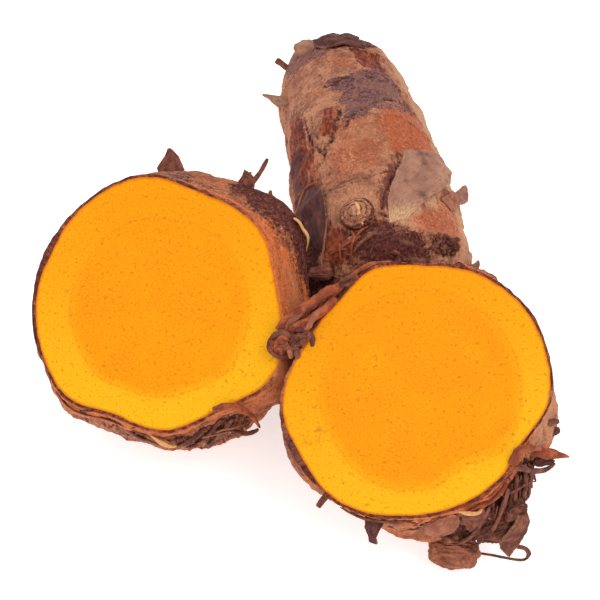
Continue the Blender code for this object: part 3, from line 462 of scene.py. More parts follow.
# Crumbs of bark on the finger's base: place along and round it, and radius
CRUMBS = ((3.4, 64, 0.45), (3.9, 60, 0.6), (4.4, 56, 0.5), (3.6, 54, 0.65), (4.6, 50, 0.55),
    (3.9, 47, 0.6), (4.9, 44, 0.5), (3.3, 50, 0.45), (4.3, 41, 0.55), (5.2, 54, 0.35), (3.1, 58, 0.4),
    (5, 60, 0.35), (3.4, 43, 0.4), (2.4, 88, 0.35), (2.9, 94, 0.4), (3.4, 82, 0.35))

# Loose roots and peels: finish, radius, flatness, share of the radius at the tip, and points
CURLS = (
    (EMBER, 0.62, 0.6, 0.6, ((4.6, 3, 25), (3.48, 2.28, 24.91), (1.74, 1.33, 24.24), (-0.46, 0.21, 23.31),
        (-1.86, -0.5, 22.7), (-2.55, -1.12, 21.92))),
    (BROWN, 0.45, 0.8, 0.6, ((3.02, 1.81, 24.39), (1.39, 0.95, 23.79), (0, 0.08, 23.2),
        (-1.16, -0.76, 22.75), (-1.74, -1.56, 22.08))),
    (EMBER, 0.5, 0.7, 0.6, ((4.2, 1.6, 24.4), (3.48, 0.93, 24.17), (2.2, -0.1, 23.69),
        (1.24, -0.71, 23.32), (-0.17, -1.08, 22.87), (-1.16, -1.44, 22.31))),
    (SMOOTH, 0.35, 0.8, 0.5, ((2.55, 0.23, 24.1), (1.62, -0.67, 23.74), (1.04, -1.53, 23.15),
        (0.46, -2.15, 22.63))),
    (ROOTLET, 0.36, 0.9, 0.6, ((-0.9, -2.5, 21.7), (-1.5, -1.95, 22.1), (-2.2, -1.7, 22.1),
        (-2.95, -1.84, 21.9), (-3.4, -2.3, 21.4), (-3.5, -2.9, 20.9), (-3.05, -3.45, 20.45),
        (-2.3, -3.8, 20.3), (-1.5, -3.7, 20.4))),
    (EMBER, 0.3, 0.8, 0.5, ((-1.3, -2.6, 21.9), (-1.9, -2.35, 22), (-2.5, -2.55, 21.9), (-2.8, -3.1, 21.4),
        (-2.4, -3.4, 21.1))),
    (SMOOTH, 0.34, 0.8, 0.6, ((-1.2, -3, 21.4), (-1.16, -3.8, 20.95), (-1.04, -4.2, 20.46))),
    (ROOTLET, 0.36, 0.8, 0.6, ((-0.35, -3.3, 21.3), (-0.23, -4.1, 20.92), (-0.4, -4.4, 20.39))),
    (DEEP, 0.42, 0.9, 0.5, ((-0.5, -1.6, 22.5), (0.5, -1.9, 22.7), (1.4, -2.5, 22.1), (1.45, -3.2, 21.4))),
    (EMBER, 0.3, 0.8, 0.4, ((0.2, -1.2, 23), (0.9, -2, 22.6), (0.9, -2.9, 22.2), (0.3, -3.5, 21.7))),
    (ROOTLET, 0.4, 0.7, 0.6, ((28.4, -10, 15.9), (29.2, -9.5, 15.3), (30.1, -9.1, 14.9))),
    (ROOTLET, 0.55, 0.7, 0.7, ((28.6, -10, 13.9), (29.5, -9.4, 13.4), (30.3, -9.1, 13.1))),
    (EMBER, 0.62, 0.5, 0.15, ((26.2, -13.2, 14.4), (27.47, -12.86, 14.04), (28.81, -12.59, 13.35),
        (30.13, -12.49, 12.91), (31.28, -12.4, 12.46))),
    (EMBER, 0.45, 0.7, 0.5, ((23.9, -15.9, 15.8), (24.5, -15.2, 16.4), (25.07, -14.61, 16.82),
        (26.29, -13.91, 16.35), (27.79, -12.74, 14.36))),
    (ROOTLET, 0.36, 0.8, 0.5, ((24.47, -16.34, 15.73), (25.38, -15.67, 14.8), (26.43, -15.13, 13.54),
        (27.77, -14.13, 12.05), (28.82, -13.21, 11.37), (29.69, -12.52, 11.31))),
    (EMBER, 0.45, 0.7, 0.3, ((-10.2, -7.6, 15.2), (-9.09, -7.3, 15.3), (-7.68, -7.49, 15.64),
        (-6.42, -7.49, 14.78), (-5.51, -7.23, 13.27), (-4.71, -7.4, 11.39))),
    (ROOTLET, 0.32, 0.8, 0.5, ((-8.16, -7.09, 10.53), (-7.14, -6.27, 8.85), (-6.19, -6.24, 8.69),
        (-5.48, -5.98, 8.65), (-4.95, -5.59, 8.72))),
)

HOOKED_ROOT = ((19.4, -18.6, 2.2), (22.6, -18.8, 1.6), (26.1, -19.1, 1), (26.95, -18.8, 1.7),
    (26.5, -18.4, 2.4), (25.5, -18.3, 2.7))


def unit(v):
    return v / np.linalg.norm(v, axis=-1, keepdims=True)


def bell(values, middle, width):
    return np.exp(-(((values - middle) / width) ** 2))


def turned(angle, direction):
    """How far angles are turned from a direction, in degrees from -180 to 180."""
    return (np.degrees(angle) - direction + 180) % 360 - 180


def table(*columns):
    """Rows of numbers out of their columns, each an array or one number."""
    return np.stack(np.broadcast_arrays(*columns), axis=-1)


def smoothstep(low, high, values):
    share = np.clip((values - low) / (high - low), 0.0, 1.0)
    return share * share * (3 - 2 * share)


def noise_at(places, size, seed=0.0):
    """Smooth noise between about -1 and 1 at each place. Size is its grain in millimetres."""
    scaled = np.asarray(places) / np.asarray(size) + seed
    return np.array([noise.noise(place) for place in scaled.tolist()])


def catmull_rom(a, b, c, d, t):
    """The smooth curve's value a share t of the way from b to c."""
    return 0.5 * (2 * b + (c - a) * t + (2 * a - 5 * b + 4 * c - d) * t * t + (3 * b - a - 3 * c + d) * t**3)


def smooth_rows(rows, steps):
    """Rows of numbers along a smooth curve through the given rows."""
    rows = np.array(rows, float)
    rows = np.vstack([2 * rows[0] - rows[1], rows, 2 * rows[-1] - rows[-2]])
    shares = np.arange(steps) / steps
    curve = [catmull_rom(*rows[i : i + 4], t) for i in range(len(rows) - 3) for t in shares]
    return np.array([*curve, rows[-2]])


def along_rows(rows, shares):
    """The rows at shares of the way from the first to the last, with straight runs between them."""
    position = np.linspace(0.0, 1.0, len(rows))
    return np.stack([np.interp(shares, position, column) for column in np.array(rows, float).T], axis=-1)


class Branch:
    """A branch's surface as the solid has it, at any distance along its axis and angle round it."""

    def __init__(self, stations, outline, nodes, swellings):
        self.curve = smooth_rows(stations, 24)
        steps = np.linalg.norm(np.diff(self.curve[:, :3], axis=0), axis=1)
        self.distance = np.concatenate([[0.0], np.cumsum(steps)])
        self.length = self.distance[-1]
        self.outline = np.array(outline, float)
        self.nodes = nodes
        self.swellings = swellings

    def along_curve(self, along):
        rows = [np.interp(along, self.distance, self.curve[:, k]) for k in range(4)]
        return np.stack(rows[:3], axis=-1), rows[3]

    def frame(self, along):
        """Centres, right-hand sides, ups, onward directions and radii."""
        centre, radius = self.along_curve(along)
        ahead, _ = self.along_curve(np.clip(along + 0.5, 0.5, self.length))
        behind, _ = self.along_curve(np.clip(along - 0.5, 0.0, self.length - 0.5))
        onward = unit(ahead - behind)
        up = unit(UP - onward[..., 2:] * onward)
        return centre, np.cross(onward, up), up, onward, radius

    def outward(self, along, angle):
        _, side, up, _, _ = self.frame(along)
        return np.cos(angle)[..., None] * side + np.sin(angle)[..., None] * up

    def outline_share(self, angle, along):
        count = len(self.outline)
        position = (angle / math.tau * count) % count
        i = position.astype(int)
        near = [self.outline[(i + k) % count] for k in (-1, 0, 1, 2)]
        share = catmull_rom(*near, position - i) / self.outline.mean()
        return 1 + (share - 1) * np.maximum(0.0, 1 - along / ROUNDING_LENGTH)

    def relief(self, points, along, angle):
        height = UNDULATION * noise_at(points, UNDULATION_SIZE)
        for node in self.nodes:
            height += NODE_RIDGE * bell(along, node, NODE_WIDTH)
        for middle, direction, rise, spread_along, spread_angle in self.swellings:
            turn = turned(angle, direction)
            height += rise * np.exp(-(((along - middle) / spread_along) ** 2) - (turn / spread_angle) ** 2)
        return height

    def surface(self, along, angle, lift=0.0, share=1.0, beyond=0.0):
        """Points of the skin, lifted off it, drawn in to a share of the radius, or beyond the end."""
        along, angle = np.broadcast_arrays(np.asarray(along, float), np.asarray(angle, float))
        centre, _, _, onward, radius = self.frame(along)
        outward = self.outward(along, angle)
        bare = radius * self.outline_share(angle, along)
        relief = self.relief(centre + outward * bare[..., None], along, angle)
        reach = (bare + relief + lift) * share
        return centre + outward * reach[..., None] + onward * (beyond * radius)[..., None]

    def spot(self, along, degrees):
        """One point of the skin and the way out of it."""
        along, angle = np.array([along]), np.radians([degrees])
        return self.surface(along, angle)[0], self.outward(along, angle)[0]

    def path(self, rows, steps):
        """Points over the skin through rows of place along, degrees round and height, and the ways out."""
        along, angle, lift = smooth_rows(rows, steps).T
        angle = np.radians(angle)
        return self.surface(along, angle, lift), self.outward(along, angle)


def new_piece(name, add, **measures):
    """A piece from one of the tool's primitives, and its vertices."""
    bpy.ops.object.select_all(action="DESELECT")
    add(**measures)
    piece = bpy.context.object
    piece.name = piece.data.name = name
    corners = np.empty(len(piece.data.vertices) * 3)
    piece.data.vertices.foreach_get("co", corners)
    return piece, corners.reshape(-1, 3)


def rolled_grid(name, columns, rows):
    """A new flat grid, and each of its vertices' share across and number of its row."""
    add = bpy.ops.mesh.primitive_grid_add
    piece, corners = new_piece(name, add, x_subdivisions=columns, y_subdivisions=rows, size=1.0)
    return piece, corners[:, 0] + 0.5, np.rint((corners[:, 1] + 0.5) * rows).astype(int)


def put_vertices(piece, points):
    """Moves the vertices to points of the working frame, none of them below the table."""
    points = np.array(points)
    points[:, 2] = np.maximum(points[:, 2], 0.0)
    piece.data.vertices.foreach_set("co", ((points - PLAN_CENTRE) * MM).ravel())
    piece.data.update()


def keep_values(piece, name, values):
    """Stores a number or a vector at each vertex for the finishes."""
    values = np.asarray(values, float)
    if values.ndim == 1:
        piece.data.attributes.new(name, "FLOAT", "POINT").data.foreach_set("value", values)
    else:
        piece.data.attributes.new(name, "FLOAT_VECTOR", "POINT").data.foreach_set("vector", values.ravel())


def weld(piece):
    """Joins the grid's meeting edges and poles and turns its faces outwards."""
    bpy.ops.object.mode_set(mode="EDIT")
    bpy.ops.mesh.select_all(action="SELECT")
    bpy.ops.mesh.remove_doubles(threshold=0.002 * MM)
    bpy.ops.mesh.normals_make_consistent(inside=False)
    bpy.ops.object.mode_set(mode="OBJECT")
    bpy.ops.object.shade_smooth()


def finish_piece(piece, material, slot):
    piece.data.materials.clear()
    piece.data.materials.append(material)
    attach(piece, "root")
    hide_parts("rhizome")


def inside_distance(x, y, corners):
    """How far inside a polygon each point is, negative outside it."""
    inside = np.zeros(x.shape, bool)
    nearest = np.full(x.shape, np.inf)
    for (ax, ay), (bx, by) in zip(corners, np.roll(corners, -1, axis=0)):
        nearest = np.minimum(nearest, segment_distance(x, y, ax, ay, bx, by))
        crosses = (ay > y) != (by > y)
        if ay != by:
            inside ^= crosses & (x < (bx - ax) * (y - ay) / (by - ay) + ax)
    return np.where(inside, nearest, -nearest)


def segment_distance(x, y, ax, ay, bx, by):
    dx, dy = bx - ax, by - ay
    share = np.clip(((x - ax) * dx + (y - ay) * dy) / (dx * dx + dy * dy), 0.0, 1.0)
    return np.hypot(x - ax - share * dx, y - ay - share * dy)


def unrolled(along, angle, points):
    """Places along and round a branch, with the angle near that of the given points, in millimetres."""
    points = np.array(points, float)
    middle = points[:, 1].mean()
    degrees = turned(angle, middle)
    points[:, 1] = (points[:, 1] - middle + 180) % 360 - 180
    return along, degrees, points


def skin_marks(name, radius, along, angle, place):
    """The stains and painted shade of the patches and creases of a branch, and the heights that both add."""
    stains = {stain: np.zeros(len(along)) for stain in STAINS_AND_SHADE}
    rises, height = np.zeros(len(along)), np.zeros(len(along))
    ragged = 0.9 * noise_at(place, 2.0, 3.0) + 0.6 * noise_at(place, 0.8, 7.0)
    ragged += 0.25 * noise_at(place, 0.35, 2.0)
    to_mm = math.radians(1.0) * radius
    for stain, strength, softness, rise, corners in PATCHES[name]:
        x, degrees, points = unrolled(along, angle, corners)
        points[:, 1] *= to_mm
        inside = inside_distance(x, degrees * to_mm, points) + ragged * min(1.0, 0.2 + softness)
        share = smoothstep(-softness, softness, inside)
        stains[stain] = np.maximum(stains[stain], strength * share)
        rises += rise * share
    for width, depth, crease_shade, line in CREASES[name]:
        x, degrees, points = unrolled(along, angle, line)
        points[:, 1] *= to_mm
        nearest = np.full(len(along), np.inf)
        for (ax, ay), (bx, by) in zip(points, points[1:]):
            nearest = np.minimum(nearest, segment_distance(x, degrees * to_mm, ax, ay, bx, by))
        faint = np.clip(0.75 + 0.5 * noise_at(place, 0.7, 5.0), 0.2, 1.0)
        share = bell(nearest, 0, width) * faint
        height -= depth * share
        # Painted shade along the crease
        stains["dark_stain_and_shade"] = np.maximum(stains["dark_stain_and_shade"], crease_shade * share)
    return stains, rises, height


def ridged(place, size, seed=0.0):
    """Sharp folds: noise whose middle is a ridge."""
    return 0.5 - 2 * np.abs(noise_at(place, size, seed))


def finger_texture(branch, along, angle, place):
    """Grainy bark with broken steps at the node rings."""
    height = 0.10 * noise_at(place, 1.5) + 0.08 * noise_at(place, 0.6, 2.0)
    height += 0.05 * noise_at(place, 0.28, 4.0)
    height += 0.06 * noise_at(place, (0.7, 0.7, 4.0), 9.0) + 0.08 * ridged(place, (3.0, 3.0, 0.8), 4.0)
    wander = 0.7 * noise_at(place, (3.0, 3.0, 30.0), 1.0) + 0.25 * noise_at(place, (0.8, 0.8, 30.0), 6.0)
    for node in branch.nodes:
        step = (along - node - wander) / 0.35
        height -= 0.16 * bell(step, 0, 1) - 0.10 * bell(step, 2.2, 1)
    return height


def matted(along, arc):
    """Wrinkled dry roots that lie side by side in one flow."""
    turn = math.radians(MAT_FLOW)
    flow = along * math.cos(turn) - arc * math.sin(turn)
    across = along * math.sin(turn) + arc * math.cos(turn)
    across = across + 0.5 * noise_at(table(along, arc, 0), 3.0, 1.0)
    spot = table(across, flow, 0)
    return 0.45 * ridged(spot, (1.2, 6.0, 1.0), 3.0) + 0.3 * ridged(spot, (0.55, 3.5, 1.0), 6.0) - 0.15


def stub_texture(branch, along, angle, place):
    """Dry layers that peel in bands round the cut and crumple on the underside."""
    under = 0.35 + 0.65 * smoothstep(0.15, 0.6, -np.sin(angle))
    bands = 0.26 * ridged(place, (4.5, 4.5, 1.0), 2.0) + 0.16 * ridged(place, (2.4, 2.4, 0.45), 5.0)
    crust = 0.35 * noise_at(place, (3.0, 3.0, 1.6), 8.0) + 0.16 * noise_at(place, 0.9, 3.0)
    fine = 0.07 * noise_at(place, 0.5, 1.0) + 0.04 * noise_at(place, 0.3, 6.0)
    return ((bands + crust) * under + fine) * smoothstep(-0.2, 1.6, along)


def rim_share(name, angle):
    """The share of the radius at which the flesh meets the rim."""
    middle, spread, thickness = THICK_RIMS[name]
    return RIM_SHARE - thickness * bell(turned(angle, middle), 0, spread)


def branch_skin(name, branch, columns, rows, is_cut, texture):
    """A branch's skin, closed at both ends, with its stains and painted shade."""
    stops = np.linspace(0.0, branch.length, rows)
    head = [(RIM_DROP, share, 0.0) for share in (0.0, 0.5, RIM_SHARE - 0.01)]
    head.append((0.03, RIM_SHARE + 0.003, 0.0))
    if not is_cut:
        head = [(0.0, math.sin(t), -0.4 * math.cos(t)) for t in np.linspace(0.0, 1.4, 6)]
    tail = [(branch.length, math.cos(t), 0.4 * math.sin(t)) for t in np.linspace(0.15, math.pi / 2, 8)]
    profile = np.array([*head, *((stop, 1.0, 0.0) for stop in stops), *tail])
    skin, across, row = rolled_grid(name, columns, len(profile) - 1)
    along, share, beyond = profile[row].T
    angle = across * math.tau - math.pi / 2
    _, radius = branch.along_curve(along)
    place = table(radius * share * np.cos(angle), radius * share * np.sin(angle), along + beyond * radius)
    if is_cut:
        share = np.where((row > 1) & (row < 4), share * rim_share(name, angle) / RIM_SHARE, share)
    stains, rises, marks = skin_marks(name, radius.mean(), along, angle, place)
    height = marks + texture(branch, along, angle, place)
    if name in MATS:
        x, degrees, points = unrolled(along, angle, MATS[name])
        points[:, 1] *= MAT_DEGREE
        inside = inside_distance(x, degrees * MAT_DEGREE, points) + 0.8 * noise_at(place, 1.6, 5.0)
        height += smoothstep(-0.9, 0.7, inside) * matted(x, degrees * MAT_DEGREE)
    # The relief's depth, kept for the painted shade in its hollows and the paler ridges
    keep_values(skin, "relief_shading", -height)
    height += rises
    if is_cut:
        ring = bell(along, 0.6, 0.4)
        edge = bell(along, 0, 0.3) * smoothstep(-0.5, 0.3, noise_at(place, 1.8, 2.0))
        middle, spread = LIT_RIMS[name]
        lit = bell(turned(angle, middle), 0, spread)
        stains["orange"] = np.maximum(stains["orange"], 0.8 * ring)
        stains["red"] = np.maximum(stains["red"], 0.7 * bell(along, 0, 0.35) * (1 - lit))
        stains["dark_stain_and_shade"] = np.maximum(stains["dark_stain_and_shade"] * (1 - 0.5 * ring), 0.55 * edge * (1 - lit))
        height += 0.16 * noise_at(place, 0.9, 4.0) * np.exp(-along / 0.8)
    put_vertices(skin, branch.surface(along, angle, height, share, beyond))
    keep_values(skin, "place", place)
    for stain, values in stains.items():
        keep_values(skin, stain, values)
    weld(skin)
    return skin


def cut_flesh(name, branch, core, bruises):
    """The flat of a cut, with what the rings need: the share of the radius and the distance from the core."""
    flat = [(0.0, share) for share in np.linspace(0.0, 0.985, 40)]
    profile = np.array([*flat, (0.03, 0.996), (0.12, 1.0), (0.7, 1.0), (0.7, 0.5), (0.7, 0.0)])
    flesh, across, row = rolled_grid(name + "_flesh", 300, len(profile) - 1)
    along, share = profile[row].T
    angle = across * math.tau
    _, radius = branch.along_curve(0.0)
    reach = radius * branch.outline_share(angle, 0.0 * angle) * share
    place = table(reach * np.cos(angle), reach * np.sin(angle), along)
    along = along + 0.03 * noise_at(place, 2.4) * (along < 0.05)
    rim = rim_share(name, angle) + 0.007 * noise_at(place, 1.4, 3.0) + 0.004 * noise_at(place, 0.5, 3.0)
    put_vertices(flesh, branch.surface(along, angle, 0.0, share * rim))
    keep_values(flesh, "place", place)
    keep_values(flesh, "share", share)
    x, y, wide, high = core
    inlet_x, inlet_y, inlet_size = INLET[name]
    distance = np.hypot((place[:, 0] - x) / wide, (place[:, 1] - y) / high)
    inlet = np.exp(-((place[:, 0] - inlet_x) ** 2 + (place[:, 1] - inlet_y) ** 2) / inlet_size**2)
    keep_values(flesh, "core", distance + INLET_DEPTH * inlet)
    keep_values(flesh, "yellow", smoothstep(-0.95, 0.9, -0.8 * np.sin(angle) + 0.35 * np.cos(angle)))
    bruise = np.zeros(len(share))
    for middle, degrees, size in bruises:
        turn = math.radians(degrees)
        spot = middle * radius * np.array((math.cos(turn), math.sin(turn)))[:, None]
        bruise = np.maximum(bruise, bell(np.hypot(*(place[:, :2].T - spot)), 0, size))
    keep_values(flesh, "bruise", bruise)
    weld(flesh)
    return flesh


def tapered(path, shares, sizes):
    """Sizes along a path, given at some shares of the way."""
    return np.interp(np.linspace(0, 1, len(path)), shares, sizes)


def sweep(name, path, outwards, radii, sides, flatness, roughness, seed):
    """A dried root: a grid rolled round a path, flattened towards the surface under it, with closed ends."""
    path, radii = np.asarray(path, float), np.asarray(radii, float)
    onward = unit(np.gradient(path, axis=0))
    side = unit(np.cross(onward, outwards))
    over = np.cross(side, onward)
    rows = np.concatenate([[0], np.arange(len(path)), [len(path) - 1]])
    shrink = np.ones(len(rows))
    shrink[0] = shrink[-1] = 0.0
    shrink[1] = shrink[-2] = 0.75
    piece, across, row = rolled_grid(name, sides, len(rows) - 1)
    angle = across * math.tau
    i = rows[row]
    length = np.concatenate([[0.0], np.cumsum(np.linalg.norm(np.diff(path, axis=0), axis=1))])[i]
    radius = radii[i] * shrink[row]
    round_place = table(np.cos(angle) * radius, np.sin(angle) * radius, length)
    grain = noise_at(round_place, (0.35, 0.35, 1.2), seed) + 0.5 * noise_at(round_place, 0.3, seed + 5)
    wrinkle = 1 + roughness * grain
    wrinkle += 0.45 * roughness * np.cos(3 * angle + 2.5 * np.sin(length * 0.9 + seed))
    wide = (np.cos(angle) * radius * wrinkle)[:, None] * side[i]
    thick = (np.sin(angle) * radius * wrinkle * flatness)[:, None] * over[i]
    put_vertices(piece, path[i] + wide + thick)
    keep_values(piece, "place", round_place + (seed, 0.0, 0.0))
    weld(piece)
    return piece


def sheet(name, branch, thickness, crumple, torn, left, right, seed):
    """A thin dry scale between two side edges, with a torn rim and a root as pale as torn says."""
    piece, across, row = rolled_grid(name, SHEET_COLUMNS, SHEET_ROWS)
    share = row / SHEET_ROWS
    tear = 0.06 * noise_at(table(across * 6, 0, seed), 1.0)
    tear += 0.05 * noise_at(table(across * 17, 0, seed), 1.0, 4.0)
    span = np.clip(share * (1 + tear * share), 0.0, 1.0)
    first, last = along_rows(left, span), along_rows(right, span)
    nibble = 0.03 * noise_at(table(share * 14, 0, seed), 1.0, 2.0)
    blend = (across * (1 - 2 * nibble) + nibble)[:, None]
    spot = first * (1 - blend) + last * blend
    if branch is None:
        outward = unit(np.cross(last[0] - first[0], first[-1] - first[0]))
        outward = outward * np.sign(outward @ FRONT)
    else:
        along, degrees, lift = spot.T
        spot = branch.surface(along, np.radians(degrees), lift)
        outward = branch.outward(along, np.radians(degrees))
    waves = (noise_at(spot, 1.6, seed) + 0.5 * noise_at(spot, 0.6, seed + 3)) * smoothstep(0.0, 0.3, share)
    rise = crumple * (waves - 0.25 * np.cos(math.tau * across))
    put_vertices(piece, spot + outward * rise[:, None])
    keep_values(piece, "place", table(across * 5, share * 8, seed))
    root = torn * (1 - smoothstep(0.04, 0.26, share + 0.5 * tear))
    keep_values(piece, "torn", root + 0.35 * smoothstep(0.93, 1.0, np.abs(2 * across - 1)))
    # Kept for the painted shade where the crumpled sheet dips
    keep_values(piece, "fold_shade", -waves)
    solidify = piece.modifiers.new("thickness", "SOLIDIFY")
    solidify.thickness = thickness * MM
    solidify.offset = 0.0
    bpy.ops.object.modifier_apply(modifier="thickness")
    bpy.ops.object.shade_smooth_by_angle(angle=math.radians(50))
    return piece


def leaf_edges(along, angle, half_width, reach, rise, tip_share, turn):
    """The side edges of a leaf that reaches along the branch or stands out from it."""
    shares = np.linspace(0.0, 1.0, 6)
    width = half_width * (1 + (tip_share - 1) * shares**1.6)
    lift = (rise + 0.5) * shares - 0.5
    edges = [(along + reach * shares, angle + turn * shares + side * width, lift) for side in (1, -1)]
    return [np.stack(edge, axis=-1) for edge in edges]


def lump(name, centre, radii, turn, roughness, grooves, seed, subdivisions=6):
    """A rough ball of dried root with grooves along it."""
    add = bpy.ops.mesh.primitive_ico_sphere_add
    piece, ball = new_piece(name, add, subdivisions=subdivisions, radius=1.0)
    swell = 1 + roughness * noise_at(ball, 0.6, seed) + 0.4 * roughness * noise_at(ball, 0.25, seed + 2)
    swell -= grooves * np.abs(noise_at(ball, (0.9, 0.16, 0.16), seed + 4))
    shaped = ball * swell[:, None] * radii
    cosine, sine = math.cos(math.radians(turn)), math.sin(math.radians(turn))
    spin = np.array(((cosine, sine, 0), (-sine, cosine, 0), (0, 0, 1)))
    put_vertices(piece, shaped @ spin + centre)
    keep_values(piece, "place", shaped[:, [1, 2, 0]] + seed)
    bpy.ops.object.shade_smooth()
    return piece


def round_bud(name, branch, along, degrees, radius):
    """A round bud: rings like a small onion round a pale slit."""
    fine = smooth_rows(BUD_PROFILE, 5)
    bud, across, row = rolled_grid(name, 90, len(fine) - 1)
    share, height = fine[row].T
    angle = across * math.tau
    centre, outward = branch.spot(along, degrees)
    side = unit(np.cross((0.0, 1.0, 0.0), outward))
    forward = np.cross(outward, side)
    wobble = 1 + 0.06 * noise_at(table(np.cos(angle), np.sin(angle), share * 3), 0.7)
    flat = table(np.cos(angle), np.sin(angle)) * (share * radius * wobble)[:, None]
    slit = np.exp(-((flat[:, 0] / 0.16) ** 2) - (flat[:, 1] / 0.55) ** 2)
    rise = height * 0.62 - 0.25 * slit * (share < 0.6)
    grain = noise_at(table(np.cos(angle) * 3, np.sin(angle) * 3, share * 6), 0.5)
    rise += 0.04 * smoothstep(0.0, 0.2, share) * grain
    put_vertices(bud, centre + flat[:, :1] * side + flat[:, 1:] * forward + rise[:, None] * outward)
    keep_values(bud, "place", table(*flat.T, rise + 40))
    # Painted shade in the ring grooves and round the bud's foot
    groove_shade = bell(share, 0.42, 0.05) + bell(share, 0.73, 0.05) + (share > 0.93)
    keep_values(bud, "dark_stain_and_shade", 0.75 * np.clip(groove_shade, 0.0, 1.0))
    keep_values(bud, "pale", np.clip(1.6 * slit * (share < 0.6) + 0.35 * (share < 0.4), 0.0, 1.0))
    keep_values(bud, "red", 0.3 * smoothstep(0.5, 0.9, share))
    for stain in ("purple", "orange", "relief_shading"):
        keep_values(bud, stain, 0.0 * share)
    weld(bud)
    return bud


def join(name, pieces):
    """One piece of several closed ones."""
    bpy.ops.object.select_all(action="DESELECT")
    for piece in pieces:
        piece.select_set(True)
    bpy.context.view_layer.objects.active = pieces[0]
    bpy.ops.object.join()
    pieces[0].name = pieces[0].data.name = name
    return pieces[0]


def finish_bundles(bundles):
    """Makes each bundle of dried roots one piece."""
    for (name, kind), roots in bundles.items():
        finish_piece(join(name, roots), *finishes[kind])


def colour(red, green, blue):
    """A colour of the screen as the light that a shader takes."""
    shares = [value / 255 for value in (red, green, blue)]
    lights = [share / 12.92 if share <= 0.04045 else ((share + 0.055) / 1.055) ** 2.4 for share in shares]
    return (*lights, 1.0)


class Finish:
    """A material whose nodes are added one after the other."""

    def __init__(self, name, roughness):
        self.material = bpy.data.materials.new(name)
        self.material.use_nodes = True
        self.tree = self.material.node_tree
        self.shader = self.tree.nodes["Principled BSDF"]
        self.shader.inputs["Roughness"].default_value = roughness
        self.shader.inputs["Specular IOR Level"].default_value = 0.18

    def node(self, kind, settings=(), **sockets):
        node = self.tree.nodes.new(kind)
        for key, value in dict(settings).items():
            setattr(node, key, value)
        for key, value in sockets.items():
            self.feed(node.inputs[key.replace("_", " ")], value)
        return node

    def feed(self, socket, value):
        if isinstance(value, bpy.types.NodeSocket):
            self.tree.links.new(value, socket)
        else:
            socket.default_value = value

    def stored(self, name):
        """A number kept at the vertices."""
        return self.node("ShaderNodeAttribute", {"attribute_name": name}).outputs["Fac"]

    def place(self, stretch=(1.0, 1.0, 1.0)):
        """The place on the surface, drawn out along some of its directions."""
        source = self.node("ShaderNodeAttribute", {"attribute_name": "place"}).outputs["Vector"]
        return self.node("ShaderNodeMapping", Vector=source, Scale=stretch).outputs["Vector"]

    def grain(self, where, scale, detail=3.0, roughness=0.6, distortion=0.0):
        settings = {"Scale": scale, "Detail": detail, "Roughness": roughness, "Distortion": distortion}
        return self.node("ShaderNodeTexNoise", Vector=where, **settings).outputs["Fac"]

    def spread(self, value, low, high, to_low=0.0, to_high=1.0):
        """The value from low to high as a share from one number to another."""
        node = self.node("ShaderNodeMapRange", {"interpolation_type": "SMOOTHSTEP"}, Value=value)
        for key, number in (("From Min", low), ("From Max", high), ("To Min", to_low), ("To Max", to_high)):
            node.inputs[key].default_value = number
        return node.outputs["Result"]

    def over(self, tone, value, low, high, most, rgb):
        """The tone under a colour that is absent where the value is low and at its most where it is high."""
        return self.mix(self.spread(value, low, high, 0.0, most), tone, colour(*rgb))

    def two_tone(self, value, low, high, first, second):
        return self.mix(self.spread(value, low, high), colour(*first), colour(*second))

    def maths(self, operation, first, second):
        node = self.node("ShaderNodeMath", {"operation": operation})
        self.feed(node.inputs[0], first)
        self.feed(node.inputs[1], second)
        return node.outputs[0]

    def mix(self, share, first, second, blend="MIX"):
        node = self.node("ShaderNodeMix", {"data_type": "RGBA", "blend_type": blend})
        self.feed(node.inputs[0], share)
        self.feed(node.inputs[6], first)
        self.feed(node.inputs[7], second)
        return node.outputs[2]

    def bump(self, height, distance, strength):
        node = self.node("ShaderNodeBump", Height=height, Distance=distance, Strength=strength)
        self.feed(self.shader.inputs["Normal"], node.outputs["Normal"])

    def coat(self, colour_socket, roughness_socket=None):
        self.feed(self.shader.inputs["Base Color"], colour_socket)
        if roughness_socket is not None:
            self.feed(self.shader.inputs["Roughness"], roughness_socket)


def broken(finish, stain, edge_noise, amount):
    """A stain whose edge is frayed by a grain, also where it carries painted shade."""
    share = finish.stored(stain)
    fray = finish.spread(edge_noise, 0.3, 0.7, -amount / 2, amount / 2)
    return finish.spread(finish.maths("ADD", share, fray), 0.15, 0.85)


